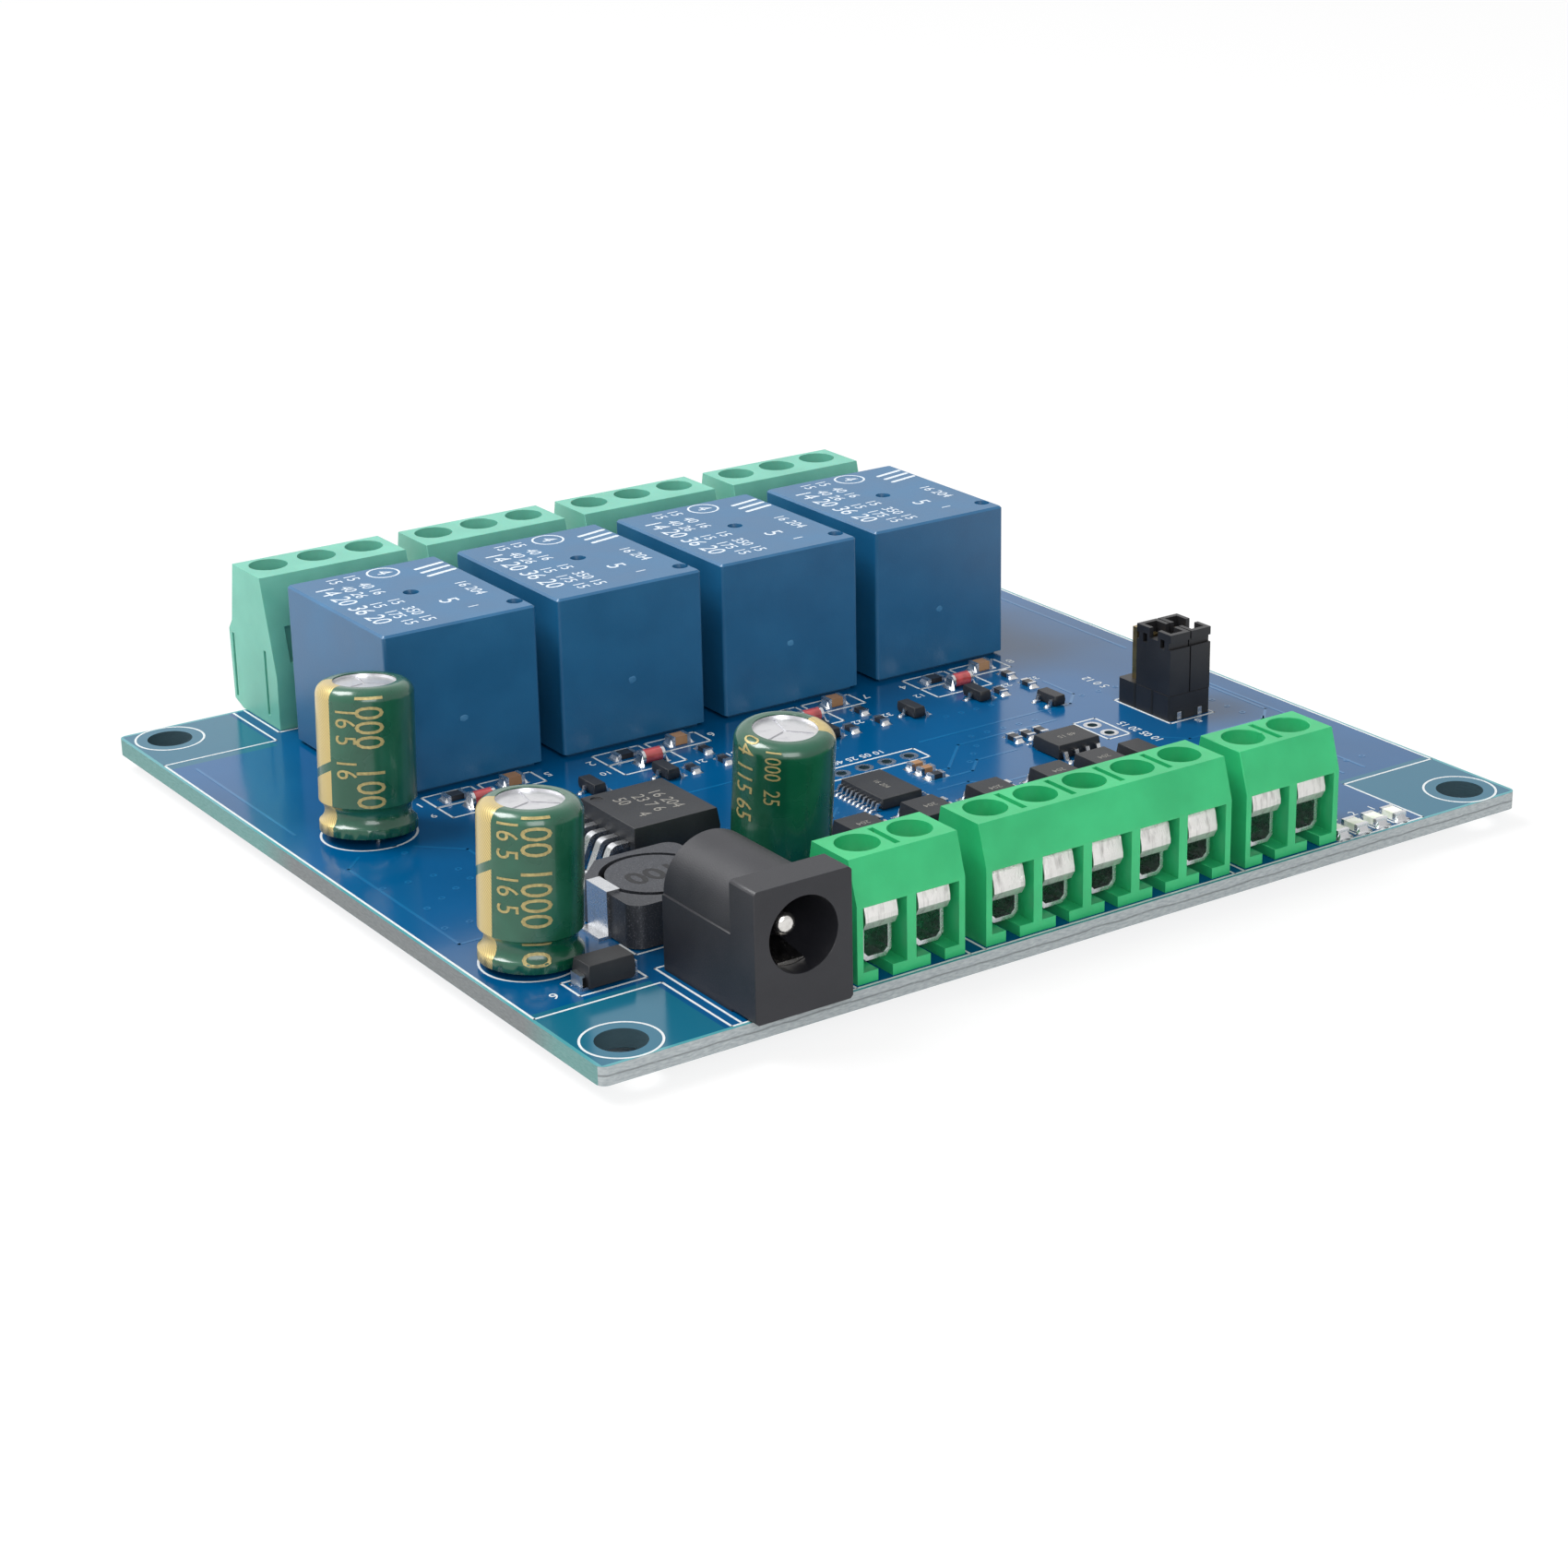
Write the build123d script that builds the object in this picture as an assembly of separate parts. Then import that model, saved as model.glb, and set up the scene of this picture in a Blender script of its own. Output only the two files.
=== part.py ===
from build123d import *

import math
import os
from dataclasses import dataclass

# A four-channel relay board: relays and their output terminals along the back edge, a power jack
# and three green terminals along the front edge, and the power supply, the processor and the
# interface parts between them.
#
# Everything is modelled from the board's front-left corner, with +X along the front edge, +Y
# towards the relays, +Z up and z = 0 on the top of the board. The last step moves the part so that
# its origin is the middle of the four mounting holes, on the underside of the board.

# Circuit board
board_thickness = 1.6
board_corner_radius = 0.8
mounting_hole_diameter = 4.2
mounting_hole_inset_x = 3.81
mounting_hole_inset_y = 3.3
board_side_margin = 20.955
corner_zone_length = 11.2
lead_tail = 1.5
lead_hole_gap = 0.1

# Relays, one for each channel
channel_count = 4
relay_width = 15.5
relay_depth = 19.3
relay_height = 15.45
relay_gap = 2.28
relay_row_y = 58.25
relay_corner_radius = 0.35
relay_top_chamfer = 0.2
relay_wall = 0.6
relay_base_thickness = 1.2
relay_standoff = 0.35
relay_pin_width = 0.9
relay_pin_thickness = 0.5
relay_dimple_diameter = 1.5
relay_dimple_depth = 0.9
relay_dimple_side_inset = 0.95
relay_dimple_front_inset = 2.2
relay_dimple_offset_x = 0.5
relay_dimple_offset_y = 0.7
relay_pin_side_inset = 1.75
relay_front_pin_inset = 3.3
relay_common_pin_inset = 1.6
relay_back_pin_inset = 3.8

# Screw terminals, both kinds
terminal_pitch = 5.08
terminal_end_margin = 0.15
terminal_divider = 0.9
terminal_floor = 0.95
terminal_floor_gap = 1.4
terminal_cavity_depth = 5.9
terminal_well_diameter = 3.7
terminal_groove_width = 0.55
terminal_groove_length = 3.8
terminal_groove_depth = 0.5
terminal_fit = 0.05
screw_head_diameter = 3.5
screw_head_height = 1.2
screw_shank_diameter = 2.0
screw_slot_width = 0.6
screw_slot_depth = 0.6
contact_width = 3.0
contact_depth = 4.4
contact_setback = 1.3
contact_wall = 0.35
contact_lift = 0.25
contact_nut_thickness = 1.0
contact_pin_width = 1.0
contact_pin_thickness = 0.8
plate_width = 3.1
plate_thickness = 0.5
plate_tab_height = 2.2
plate_bulge = 0.8
plate_bend_height = 0.9
plate_leaf_length = 4.0
plate_join = 0.1
closed_plate_rise = 1.85
open_plate_rise = 2.55

# Front terminals
front_terminal_height = 10.2
front_terminal_depth = 8.0
front_terminal_setback = 0.7
front_terminal_ceiling = 6.4
front_terminal_well_setback = 3.7
power_terminal_poles = 2
input_terminal_poles = 5
bus_terminal_poles = 2
input_terminal_gap = 2.1
bus_terminal_gap = 1.68

# Output terminals, on the back edge
output_terminal_poles = 3
output_terminal_height = 14.6
output_terminal_depth = 10.15
output_terminal_ceiling = 7.4
output_terminal_well_setback = 4.2
output_terminal_foot_height = 5.35
output_terminal_overhang = 2.45
output_terminal_gap = 2.24
output_slot_width = 2.0
output_slot_height = 3.4
output_slot_depth = 1.9
output_groove_width = 0.45
output_groove_depth = 0.3
output_groove_setbacks = (0.85, 7.85)
relay_to_output_gap = 3.65

# Power jack
jack_width = 9.0
jack_height = 11.0
jack_depth = 13.2
jack_flange_depth = 3.4
jack_overhang = 0.9
jack_bore_diameter = 6.3
jack_bore_height = 6.5
jack_bore_depth = 9.5
jack_barrel_inset = 0.15
jack_pin_diameter = 2.0
jack_pin_setback = 2.2
jack_leaf_setback = 1.9
jack_leaf_slot_drop = 2.4
jack_switch_inset = 0.3
jack_switch_drop = 1.0
jack_flange_chamfer = 0.25
jack_contact_width = 2.4
jack_contact_thickness = 0.4
jack_corner_gap = 2.0
jack_terminal_gap = 1.5

# Electrolytic capacitors
capacitor_diameter = 8.3
capacitor_height = 13.1
capacitor_edge_radius = 1.0
capacitor_seat = 0.2
capacitor_sleeve = 0.12
capacitor_sleeve_lip = 1.4
capacitor_top_recess = 0.2
capacitor_crimp_height = 2.0
capacitor_crimp_depth = 0.5
capacitor_crimp_half = 0.95
capacitor_bung_height = 1.3
capacitor_bung_wall = 0.3
capacitor_lead_diameter = 0.6
capacitor_lead_pitch = 3.5
capacitor_vent_width = 0.25
capacitor_vent_depth = 0.12
capacitor_vent_reach = 0.58

# Voltage regulator
regulator_length = 8.6
regulator_width = 9.3
regulator_height = 4.6
regulator_seat = 0.1
regulator_tab_thickness = 1.3
regulator_tab_reach = 1.3
regulator_tab_inset = 1.2
regulator_tab_start = -2.3
regulator_tab_corner = 0.9
regulator_lead_count = 5
regulator_lead_pitch = 1.7
regulator_lead_width = 0.8
regulator_lead_thickness = 0.45
regulator_lead_height = 3.0
regulator_lead_reach = 4.7
regulator_lead_shoulder = 1.5
regulator_lead_knee = 2.7
regulator_lead_bend_radius = 0.6
regulator_dimple_diameter = 1.1
regulator_dimple_depth = 0.15
regulator_dimple_inset = 1.2

# Power inductor
inductor_length = 10.3
inductor_width = 10.6
inductor_height = 3.85
inductor_corner_radius = 1.3
inductor_marked_corner = 2.75
inductor_seat = 0.1
inductor_floor = 0.6
inductor_drum_diameter = 8.0
inductor_drum_gap = 0.5
inductor_drum_flange = 0.8
inductor_drum_rise = 0.02
inductor_core_diameter = 3.6
inductor_winding_inset = 0.15
inductor_clip_width = 3.2
inductor_clip_thickness = 0.25
inductor_clip_hook = 1.0
inductor_clip_foot = 0.9

# Moulded packages with leads
package_taper = 7.0
package_seat = 0.1
lead_thickness = 0.2
diode_length = 4.3
diode_width = 2.6
diode_height = 1.95
diode_reach = 0.45
diode_strap_width = 1.45
diode_strap_half_thickness = 0.1
diode_strap_fold = 0.8

# Chip parts
chip_end_length = 0.35
chip_end_wrap = 0.03
glass_diode_length = 2.4
glass_diode_cap = 0.3
glass_diode_diameter = 1.35

# Pin header and jumper caps
header_pitch = 2.54
header_rows = 3
header_columns = 2
header_base_height = 2.5
header_notch = 0.2
header_pin_width = 0.64
header_pin_height = 7.7
jumper_width = 2.4
jumper_length = 4.95
jumper_height = 6.1
jumper_wall = 0.45
jumper_notch_width = 1.2
jumper_notch_depth = 1.0
jumper_waist_drop = 1.5
jumper_waist_height = 0.7
jumper_waist_depth = 0.3
jumper_channel_length = 1.4
jumper_window_drop = 1.6
jumper_window_height = 0.9
jumper_window_width = 0.6
jumper_link_bottom = 3.0
jumper_link_height = 1.0
jumper_clip_thickness = 0.3
jumper_clip_width = 0.8
jumper_clip_foot = 0.6
jumper_clip_fit = 0.1

# Indicator lights at the front edge
led_gap = 1.1
led_pitch = 2.25
led_edge_gap = 2.1
led_setback = 2.0


def terminal_length(poles):
    """Length of a terminal housing along the edge of the board."""
    return poles * terminal_pitch + 2 * terminal_end_margin


# The board is as long as its channels or its front row need, and as wide as its rows.
channel_pitch = max(relay_width + relay_gap, terminal_length(output_terminal_poles) + output_terminal_gap)
channels_length = (channel_count - 1) * channel_pitch + 2 * board_side_margin
jack_left = corner_zone_length + jack_corner_gap
power_terminal_left = jack_left + jack_width + jack_terminal_gap
input_terminal_left = power_terminal_left + terminal_length(power_terminal_poles) + input_terminal_gap
bus_terminal_left = input_terminal_left + terminal_length(input_terminal_poles) + bus_terminal_gap
first_led_x = bus_terminal_left + terminal_length(bus_terminal_poles) + led_gap
front_row_length = first_led_x + (channel_count - 1) * led_pitch + led_edge_gap + corner_zone_length
board_length = max(channels_length, front_row_length)
output_row_y = relay_row_y + relay_depth + relay_to_output_gap
board_width = output_row_y + output_terminal_depth - output_terminal_overhang
lead_bottom = -board_thickness - lead_tail


def channel_x(channel):
    """Middle of a channel, counted from 0 at the left."""
    return board_side_margin + channel * channel_pitch


# Places of the parts between the two rows, measured on the board
capacitor_places = ((7.9, 52.5), (5.7, 20.2), (31.15, 22.7))
# How far each capacitor leans from upright, and towards which side, in degrees
capacitor_leans = ((5.5, 45), (3.0, 15), (5.5, 270))
regulator_place = (25.25, 33.9)
inductor_place = (18.2, 21.75)
power_diode_place = (8.4, 13.4)
surge_diode_place = (72.1, 24.4)
processor_place = (49.1, 33.1)
transceiver_place = (69.7, 32.4)
optocoupler_places = ((40.9, 24.3), (48.05, 24.3), (55.2, 24.3), (62.35, 24.3), (67.8, 24.6))
header_place = (84.65, 36.2)
programming_hole_places = ((49.4, 39.8), (51.94, 39.8), (54.48, 39.8), (57.02, 39.8))
bus_link_hole_places = ((75.8, 36.1), (75.8, 33.56))
programming_hole_diameter = 1.0


@dataclass(frozen=True)
class TerminalKind:
    """What differs between the front terminals and the output terminals."""

    height: float
    depth: float
    ceiling: float
    well_setback: float
    profile: tuple
    is_output: bool


@dataclass(frozen=True)
class LeadedPackage:
    """A moulded package whose leads leave its left and right sides."""

    length: float
    width: float
    height: float
    span: float
    lead_width: float
    left_leads: tuple
    right_leads: tuple


@dataclass(frozen=True)
class Chip:
    """A two-ended chip part, lying along X when it isn't turned."""

    length: float
    width: float
    height: float


def lead_row(count, pitch):
    """Places of evenly spaced leads about the middle of a package."""
    return tuple((lead - (count - 1) / 2) * pitch for lead in range(count))


processor = LeadedPackage(6.5, 4.4, 1.0, 6.4, 0.25, lead_row(10, 0.65), lead_row(10, 0.65))
transceiver = LeadedPackage(4.9, 3.9, 1.35, 6.0, 0.42, lead_row(4, 1.27), lead_row(4, 1.27))
optocoupler = LeadedPackage(3.6, 4.4, 2.0, 7.0, 0.4, lead_row(2, 2.54), lead_row(2, 2.54))
transistor = LeadedPackage(2.9, 1.3, 1.0, 2.5, 0.4, lead_row(1, 1.9), lead_row(2, 1.9))
large_chip = Chip(2.0, 1.25, 0.5)
small_chip = Chip(1.6, 0.8, 0.45)
large_capacitor_chip = Chip(2.0, 1.25, 0.85)
small_capacitor_chip = Chip(1.6, 0.8, 0.6)
led_chip = Chip(2.0, 1.25, 0.7)


def along_x(sketch, start, end):
    """A sketch drawn in Y and Z, extruded between two places on X."""
    return Pos(start, 0, 0) * extrude(Plane.YZ * sketch, amount=end - start)


def along_y(sketch, start, end):
    """A sketch drawn in X and Z, extruded between two places on Y."""
    return Pos(0, end, 0) * extrude(Plane.XZ * sketch, amount=end - start)


def outline(*points):
    """A closed face through the given points."""
    return make_face(Polyline(*points, close=True))


def block(x, y, z):
    """A box between two limits on each axis."""
    low = Align.MIN
    return Pos(x[0], y[0], z[0]) * Box(x[1] - x[0], y[1] - y[0], z[1] - z[0], align=(low, low, low))


def rod(diameter, bottom, top):
    """An upright cylinder on the Z axis."""
    middle = Align.CENTER
    return Pos(0, 0, bottom) * Cylinder(diameter / 2, top - bottom, align=(middle, middle, Align.MIN))


def group(shapes):
    """Separate solids that share one node."""
    return Compound([solid for shape in shapes for solid in shape.solids()])


def at(place, shape, turn=0):
    """A shape moved to a place on the board and turned about Z."""
    return Pos(place[0], place[1], 0) * Rot(0, 0, turn) * shape


def corner_distance(width, thickness):
    """Distance across the corners of a flat lead, which its round hole has to pass."""
    return (width**2 + thickness**2) ** 0.5


# Screw terminals, built with the wire side on y = 0 and facing -Y
front_kind = TerminalKind(
    height=front_terminal_height,
    depth=front_terminal_depth,
    ceiling=front_terminal_ceiling,
    well_setback=front_terminal_well_setback,
    profile=(
        (0.0, 0.0),
        (0.0, front_terminal_ceiling + 0.25),
        (1.1, front_terminal_height),
        (front_terminal_depth - 1.9, front_terminal_height),
        (front_terminal_depth - 1.65, front_terminal_height - 1.2),
        (front_terminal_depth, 0.0),
    ),
    is_output=False,
)
output_kind = TerminalKind(
    height=output_terminal_height,
    depth=output_terminal_depth,
    ceiling=output_terminal_ceiling,
    well_setback=output_terminal_well_setback,
    profile=(
        (2.0, 0.0),
        (0.2, 0.6),
        (0.0, output_terminal_ceiling + 0.3),
        (0.8, output_terminal_ceiling + 1.3),
        (1.9, output_terminal_height),
        (output_terminal_depth - 2.35, output_terminal_height),
        (output_terminal_depth, output_terminal_foot_height),
        (output_terminal_depth, 0.0),
    ),
    is_output=True,
)


def pole_x(poles, pole):
    """Middle of one pole, from the middle of its terminal."""
    return (pole - (poles - 1) / 2) * terminal_pitch


def pole_cuts(kind):
    """Wire opening, gap in the floor and screw well of one pole."""
    half = (terminal_pitch - terminal_divider) / 2
    half_gap = terminal_floor_gap / 2
    half_plate = plate_width / 2 + terminal_fit
    plate_top = plate_bottom(open_plate_rise) + plate_thickness + plate_tab_height + terminal_fit
    plate_front = contact_setback - plate_bulge - 2 * terminal_fit
    cuts = [
        block((-half, half), (-1, terminal_cavity_depth), (terminal_floor, kind.ceiling)),
        block((-half_plate, half_plate), (plate_front, contact_setback), (terminal_floor, plate_top)),
        block((-half_gap, half_gap), (-1, terminal_cavity_depth), (-1, terminal_floor + 1)),
        Pos(0, kind.well_setback, 0) * rod(terminal_well_diameter, kind.ceiling - 1, kind.height + 1),
    ]
    if kind.is_output:
        half_slot = output_slot_width / 2
        slot_bottom = kind.ceiling - 1.0
        cuts.append(
            block(
                (-half_slot, half_slot),
                (kind.depth - output_slot_depth, kind.depth + 1),
                (slot_bottom, slot_bottom + output_slot_height),
            )
        )
    return cuts


def terminal_housing(kind, poles):
    """Moulded housing, with grooves between its wells or down its end."""
    length = terminal_length(poles)
    body = along_x(outline(*kind.profile), -length / 2, length / 2)
    cuts = [Pos(pole_x(poles, pole), 0, 0) * cut for pole in range(poles) for cut in pole_cuts(kind)]
    if kind.is_output:
        half_groove = output_groove_width / 2
        cuts += [
            block(
                (length / 2 - output_groove_depth, length / 2 + 1),
                (setback - half_groove, setback + half_groove),
                (terminal_floor, kind.ceiling),
            )
            for setback in output_groove_setbacks
        ]
        return body - cuts
    half_groove = terminal_groove_width / 2
    groove = block(
        (-half_groove, half_groove),
        (kind.well_setback - terminal_groove_length / 2, kind.well_setback + terminal_groove_length / 2),
        (kind.height - terminal_groove_depth, kind.height + 1),
    )
    cuts += [Pos(pole_x(poles, pole) + terminal_pitch / 2, 0, 0) * groove for pole in range(poles - 1)]
    return body - cuts


contact_bottom = terminal_floor + contact_lift


def pole_contact(kind):
    """Bent contact: a cage round the wire with the nut in its roof, and a pin below."""
    top = kind.ceiling - terminal_fit
    inner_bottom, inner_top = contact_bottom + contact_wall, top - contact_nut_thickness
    cage = Pos(0, (contact_bottom + top) / 2) * Rectangle(contact_width, top - contact_bottom)
    cage = chamfer(cage.vertices().group_by(Axis.Y)[0], contact_wall + 0.2)
    hollow = Pos(0, (inner_bottom + inner_top) / 2) * Rectangle(
        contact_width - 2 * contact_wall, inner_top - inner_bottom
    )
    hollow = chamfer(hollow.vertices().group_by(Axis.Y)[0], 0.4)
    body = along_y(cage - hollow, contact_setback, contact_setback + contact_depth)
    thread = rod(screw_shank_diameter + 2 * terminal_fit, inner_top - 0.5, top + 0.5)
    half_width, half_thickness = contact_pin_width / 2, contact_pin_thickness / 2
    pin = block((-half_width, half_width), (-half_thickness, half_thickness), (lead_bottom, contact_bottom))
    return body - Pos(0, kind.well_setback, 0) * thread + Pos(0, kind.well_setback, 0) * pin


def plate_bottom(rise):
    """Height of the underside of a pressure plate."""
    return contact_bottom + contact_wall + rise


def pole_plate(rise):
    """Pressure plate: a leaf inside the cage and a tab in front of it, bent out to a blunt ridge."""
    bottom = plate_bottom(rise)
    back, front = contact_setback - terminal_fit, contact_setback - terminal_fit - plate_bulge
    top = bottom + plate_thickness + plate_tab_height
    ridge = bottom + plate_bend_height
    tab = outline(
        (back, bottom),
        (back, top),
        (back - 0.3, top),
        (back - plate_thickness, top - 0.35),
        (front, ridge + 0.2),
        (front, ridge - 0.2),
        (back - 0.4, bottom),
    )
    leaf_half = contact_width / 2 - contact_wall - 2 * terminal_fit
    leaf = block(
        (-leaf_half, leaf_half),
        (back - plate_join, contact_setback + plate_leaf_length),
        (bottom, bottom + plate_thickness),
    )
    return along_x(tab, -plate_width / 2, plate_width / 2) + leaf


def pole_screw(kind, rise):
    """Slotted screw that stands on the pressure plate and reaches up into the well."""
    foot = plate_bottom(rise) + plate_thickness
    head_bottom = kind.ceiling + terminal_fit + rise - closed_plate_rise
    head_top = head_bottom + screw_head_height
    screw = rod(screw_shank_diameter, foot, head_bottom)
    screw += rod(screw_head_diameter, head_bottom, head_top)
    half_slot = screw_slot_width / 2
    slot = block(
        (-screw_head_diameter, screw_head_diameter),
        (-half_slot, half_slot),
        (head_top - screw_slot_depth, head_top + 1),
    )
    return Pos(0, kind.well_setback, 0) * (screw - slot)


def terminal_rows():
    """Every terminal: its node's name, kind, poles, plate height, middle, wire side and turn."""
    front = [
        ("power_terminal", power_terminal_poles, open_plate_rise, power_terminal_left),
        ("input_terminal", input_terminal_poles, closed_plate_rise, input_terminal_left),
        ("bus_terminal", bus_terminal_poles, open_plate_rise, bus_terminal_left),
    ]
    for name, poles, rise, left in front:
        middle = left + terminal_length(poles) / 2
        yield name, front_kind, poles, rise, middle, front_terminal_setback, 0
    poles, rise = output_terminal_poles, closed_plate_rise
    wire_side = output_row_y + output_terminal_depth
    for channel in range(channel_count):
        name = f"output_terminal_{channel + 1}"
        yield name, output_kind, poles, rise, channel_x(channel), wire_side, 180


def build_terminals():
    """Housings in a node each, and the screws, plates and contacts of each row in one."""
    nodes = {}
    inner = {}
    holes = []
    for name, kind, poles, rise, middle, wire_side, turn in terminal_rows():
        place = (middle, wire_side)
        row = "output" if kind.is_output else "front"
        nodes[f"{name}_housing"] = at(place, terminal_housing(kind, poles), turn)
        for piece, shape in (
            ("screws", pole_screw(kind, rise)),
            ("plates", pole_plate(rise)),
            ("contacts", pole_contact(kind)),
        ):
            inner.setdefault(f"{row}_terminal_{piece}", []).extend(
                at(place, Pos(pole_x(poles, pole), 0, 0) * shape, turn) for pole in range(poles)
            )
        direction = -1 if turn else 1
        hole_y = wire_side + direction * kind.well_setback
        size = corner_distance(contact_pin_width, contact_pin_thickness) + 2 * lead_hole_gap
        holes += [(middle + pole_x(poles, pole), hole_y, size) for pole in range(poles)]
    nodes.update({name: group(shapes) for name, shapes in inner.items()})
    return nodes, holes


# Relays, built about the middle of the front face of their cover
relay_pin_x = relay_width / 2 - relay_pin_side_inset
relay_pin_places = (
    (-relay_pin_x, relay_front_pin_inset),
    (relay_pin_x, relay_front_pin_inset),
    (0.0, relay_common_pin_inset),
    (-relay_pin_x, relay_depth - relay_back_pin_inset),
    (relay_pin_x, relay_depth - relay_back_pin_inset),
)


def relay_cover():
    """Cover with rounded edges, two round dimples in its top and a recess for the base."""
    low = Align.MIN
    cover = Pos(0, 0, relay_standoff) * Box(
        relay_width, relay_depth, relay_height - relay_standoff, align=(Align.CENTER, low, low)
    )
    cover = fillet(cover.edges().filter_by(Axis.Z), relay_corner_radius)
    cover = chamfer(cover.faces().sort_by(Axis.Z)[-1].edges(), relay_top_chamfer)
    half = relay_width / 2 - relay_wall
    recess = block((-half, half), (relay_wall, relay_depth - relay_wall), (-1, relay_base_thickness))
    dimple = rod(relay_dimple_diameter, relay_height - relay_dimple_depth, relay_height + 1)
    middle_dimple = Pos(relay_dimple_offset_x, relay_depth / 2 + relay_dimple_offset_y, 0) * dimple
    corner_dimple = Pos(relay_width / 2 - relay_dimple_side_inset, relay_dimple_front_inset, 0) * dimple
    return cover - [recess, middle_dimple, corner_dimple]


def relay_base():
    """Base plate that closes the cover and stands on the board, with a slot for each pin."""
    half = relay_width / 2 - relay_wall
    base = block((-half, half), (relay_wall, relay_depth - relay_wall), (0, relay_base_thickness))
    half_width, half_thickness = relay_pin_width / 2, relay_pin_thickness / 2
    slot = block(
        (-half_width, half_width),
        (-half_thickness, half_thickness),
        (-1, relay_base_thickness + 1),
    )
    return base - [Pos(x, y, 0) * slot for x, y in relay_pin_places]


def relay_pin():
    """Flat pin of a relay, from the inside of its base to below the board."""
    half_width, half_thickness = relay_pin_width / 2, relay_pin_thickness / 2
    return block(
        (-half_width, half_width),
        (-half_thickness, half_thickness),
        (lead_bottom, relay_base_thickness),
    )


def build_relays():
    """Cover and base of each relay, and all the relay pins."""
    nodes = {}
    pins = []
    holes = []
    size = corner_distance(relay_pin_width, relay_pin_thickness) + 2 * lead_hole_gap
    for channel in range(channel_count):
        place = (channel_x(channel), relay_row_y)
        nodes[f"relay_{channel + 1}_cover"] = at(place, relay_cover())
        nodes[f"relay_{channel + 1}_base"] = at(place, relay_base())
        pins += [at(place, Pos(x, y, 0) * relay_pin()) for x, y in relay_pin_places]
        holes += [(place[0] + x, place[1] + y, size) for x, y in relay_pin_places]
    nodes["relay_pins"] = group(pins)
    return nodes, holes


# Power jack, built about the middle of its front face at the board's edge
jack_back = jack_depth - jack_overhang
jack_leaf_start = jack_leaf_setback - jack_overhang
jack_leaf_bend = 4.6
jack_leaf_end = 8.6
jack_switch_y = 6.0
jack_switch_x = jack_width / 2 - jack_switch_inset - jack_contact_thickness


def jack_body():
    """Square flange, and behind it a barrel on a square foot, bored for the plug."""
    half = jack_width / 2
    flange = Pos(0, jack_height / 2) * Rectangle(jack_width, jack_height)
    flange = chamfer(flange.vertices(), jack_flange_chamfer)
    foot = Pos(0, jack_bore_height / 2) * Rectangle(jack_width, jack_bore_height)
    barrel = Pos(0, jack_bore_height) * Circle(half - jack_barrel_inset)
    front = -jack_overhang
    body = along_y(flange, front, front + jack_flange_depth)
    body += along_y(foot + barrel, front + jack_flange_depth, jack_back)
    bore_end = front + jack_bore_depth
    bore = along_y(Pos(0, jack_bore_height) * Circle(jack_bore_diameter / 2), front - 1, bore_end)
    pin_circle = Pos(0, jack_bore_height) * Circle(jack_pin_diameter / 2)
    pin_hole = along_y(pin_circle, bore_end - 1, jack_back + 1)
    half_slot = jack_contact_width / 2 + terminal_fit
    leaf_slot = block(
        (-half_slot, half_slot),
        (jack_leaf_start, jack_leaf_end),
        (-1, jack_bore_height - jack_leaf_slot_drop),
    )
    switch_slot = block(
        (jack_switch_x, jack_switch_x + jack_contact_thickness),
        (jack_switch_y, jack_switch_y + jack_contact_width),
        (-1, jack_bore_height - jack_switch_drop),
    )
    return body - [bore, pin_hole, leaf_slot, switch_slot]


def jack_center_pin():
    """Round pin with a rounded tip, and the flat tab behind the body that goes down to the board."""
    circle = Pos(0, jack_bore_height) * Circle(jack_pin_diameter / 2)
    pin = along_y(circle, jack_pin_setback - jack_overhang, jack_back)
    pin = fillet(pin.faces().sort_by(Axis.Y)[0].edges(), 0.3 * jack_pin_diameter)
    half = jack_contact_width / 2
    tab = block(
        (-half, half),
        (jack_back, jack_back + jack_contact_thickness),
        (lead_bottom, jack_bore_height + half),
    )
    return pin + tab


def jack_contacts():
    """Sprung leaf under the bore and the switch contact in the side wall."""
    half = jack_contact_width / 2
    rest = jack_bore_height - jack_bore_diameter / 2
    thickness = jack_contact_thickness
    leaf = outline(
        (jack_leaf_start + 0.15, rest - 0.35),
        (jack_leaf_start + 0.15, rest + 0.05),
        (jack_leaf_bend, rest + 0.6),
        (jack_leaf_end - thickness, rest - 0.6),
        (jack_leaf_end - thickness, lead_bottom),
        (jack_leaf_end, lead_bottom),
        (jack_leaf_end, rest - 0.35),
        (jack_leaf_bend + 0.1, rest + 0.95),
        (jack_leaf_start + 0.05, rest + 0.35),
        (jack_leaf_start, rest - 0.35),
    )
    switch = block(
        (jack_switch_x, jack_switch_x + thickness),
        (jack_switch_y, jack_switch_y + jack_contact_width),
        (lead_bottom, jack_bore_height - jack_switch_drop),
    )
    return group([along_x(leaf, -half, half), switch])


def build_jack():
    """Body, centre pin and the two other contacts of the jack."""
    place = (jack_left + jack_width / 2, 0)
    size = corner_distance(jack_contact_width, jack_contact_thickness) + 2 * lead_hole_gap
    half_thickness = jack_contact_thickness / 2
    local_holes = (
        (0, jack_back + half_thickness),
        (0, jack_leaf_end - half_thickness),
        (jack_switch_x + half_thickness, jack_switch_y + jack_contact_width / 2),
    )
    nodes = {
        "jack_body": at(place, jack_body()),
        "jack_center_pin": at(place, jack_center_pin()),
        "jack_contacts": at(place, jack_contacts()),
    }
    return nodes, [(place[0] + x, place[1] + y, size) for x, y in local_holes]


# Electrolytic capacitors, built about their own axis
capacitor_top = capacitor_seat + capacitor_height


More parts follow.
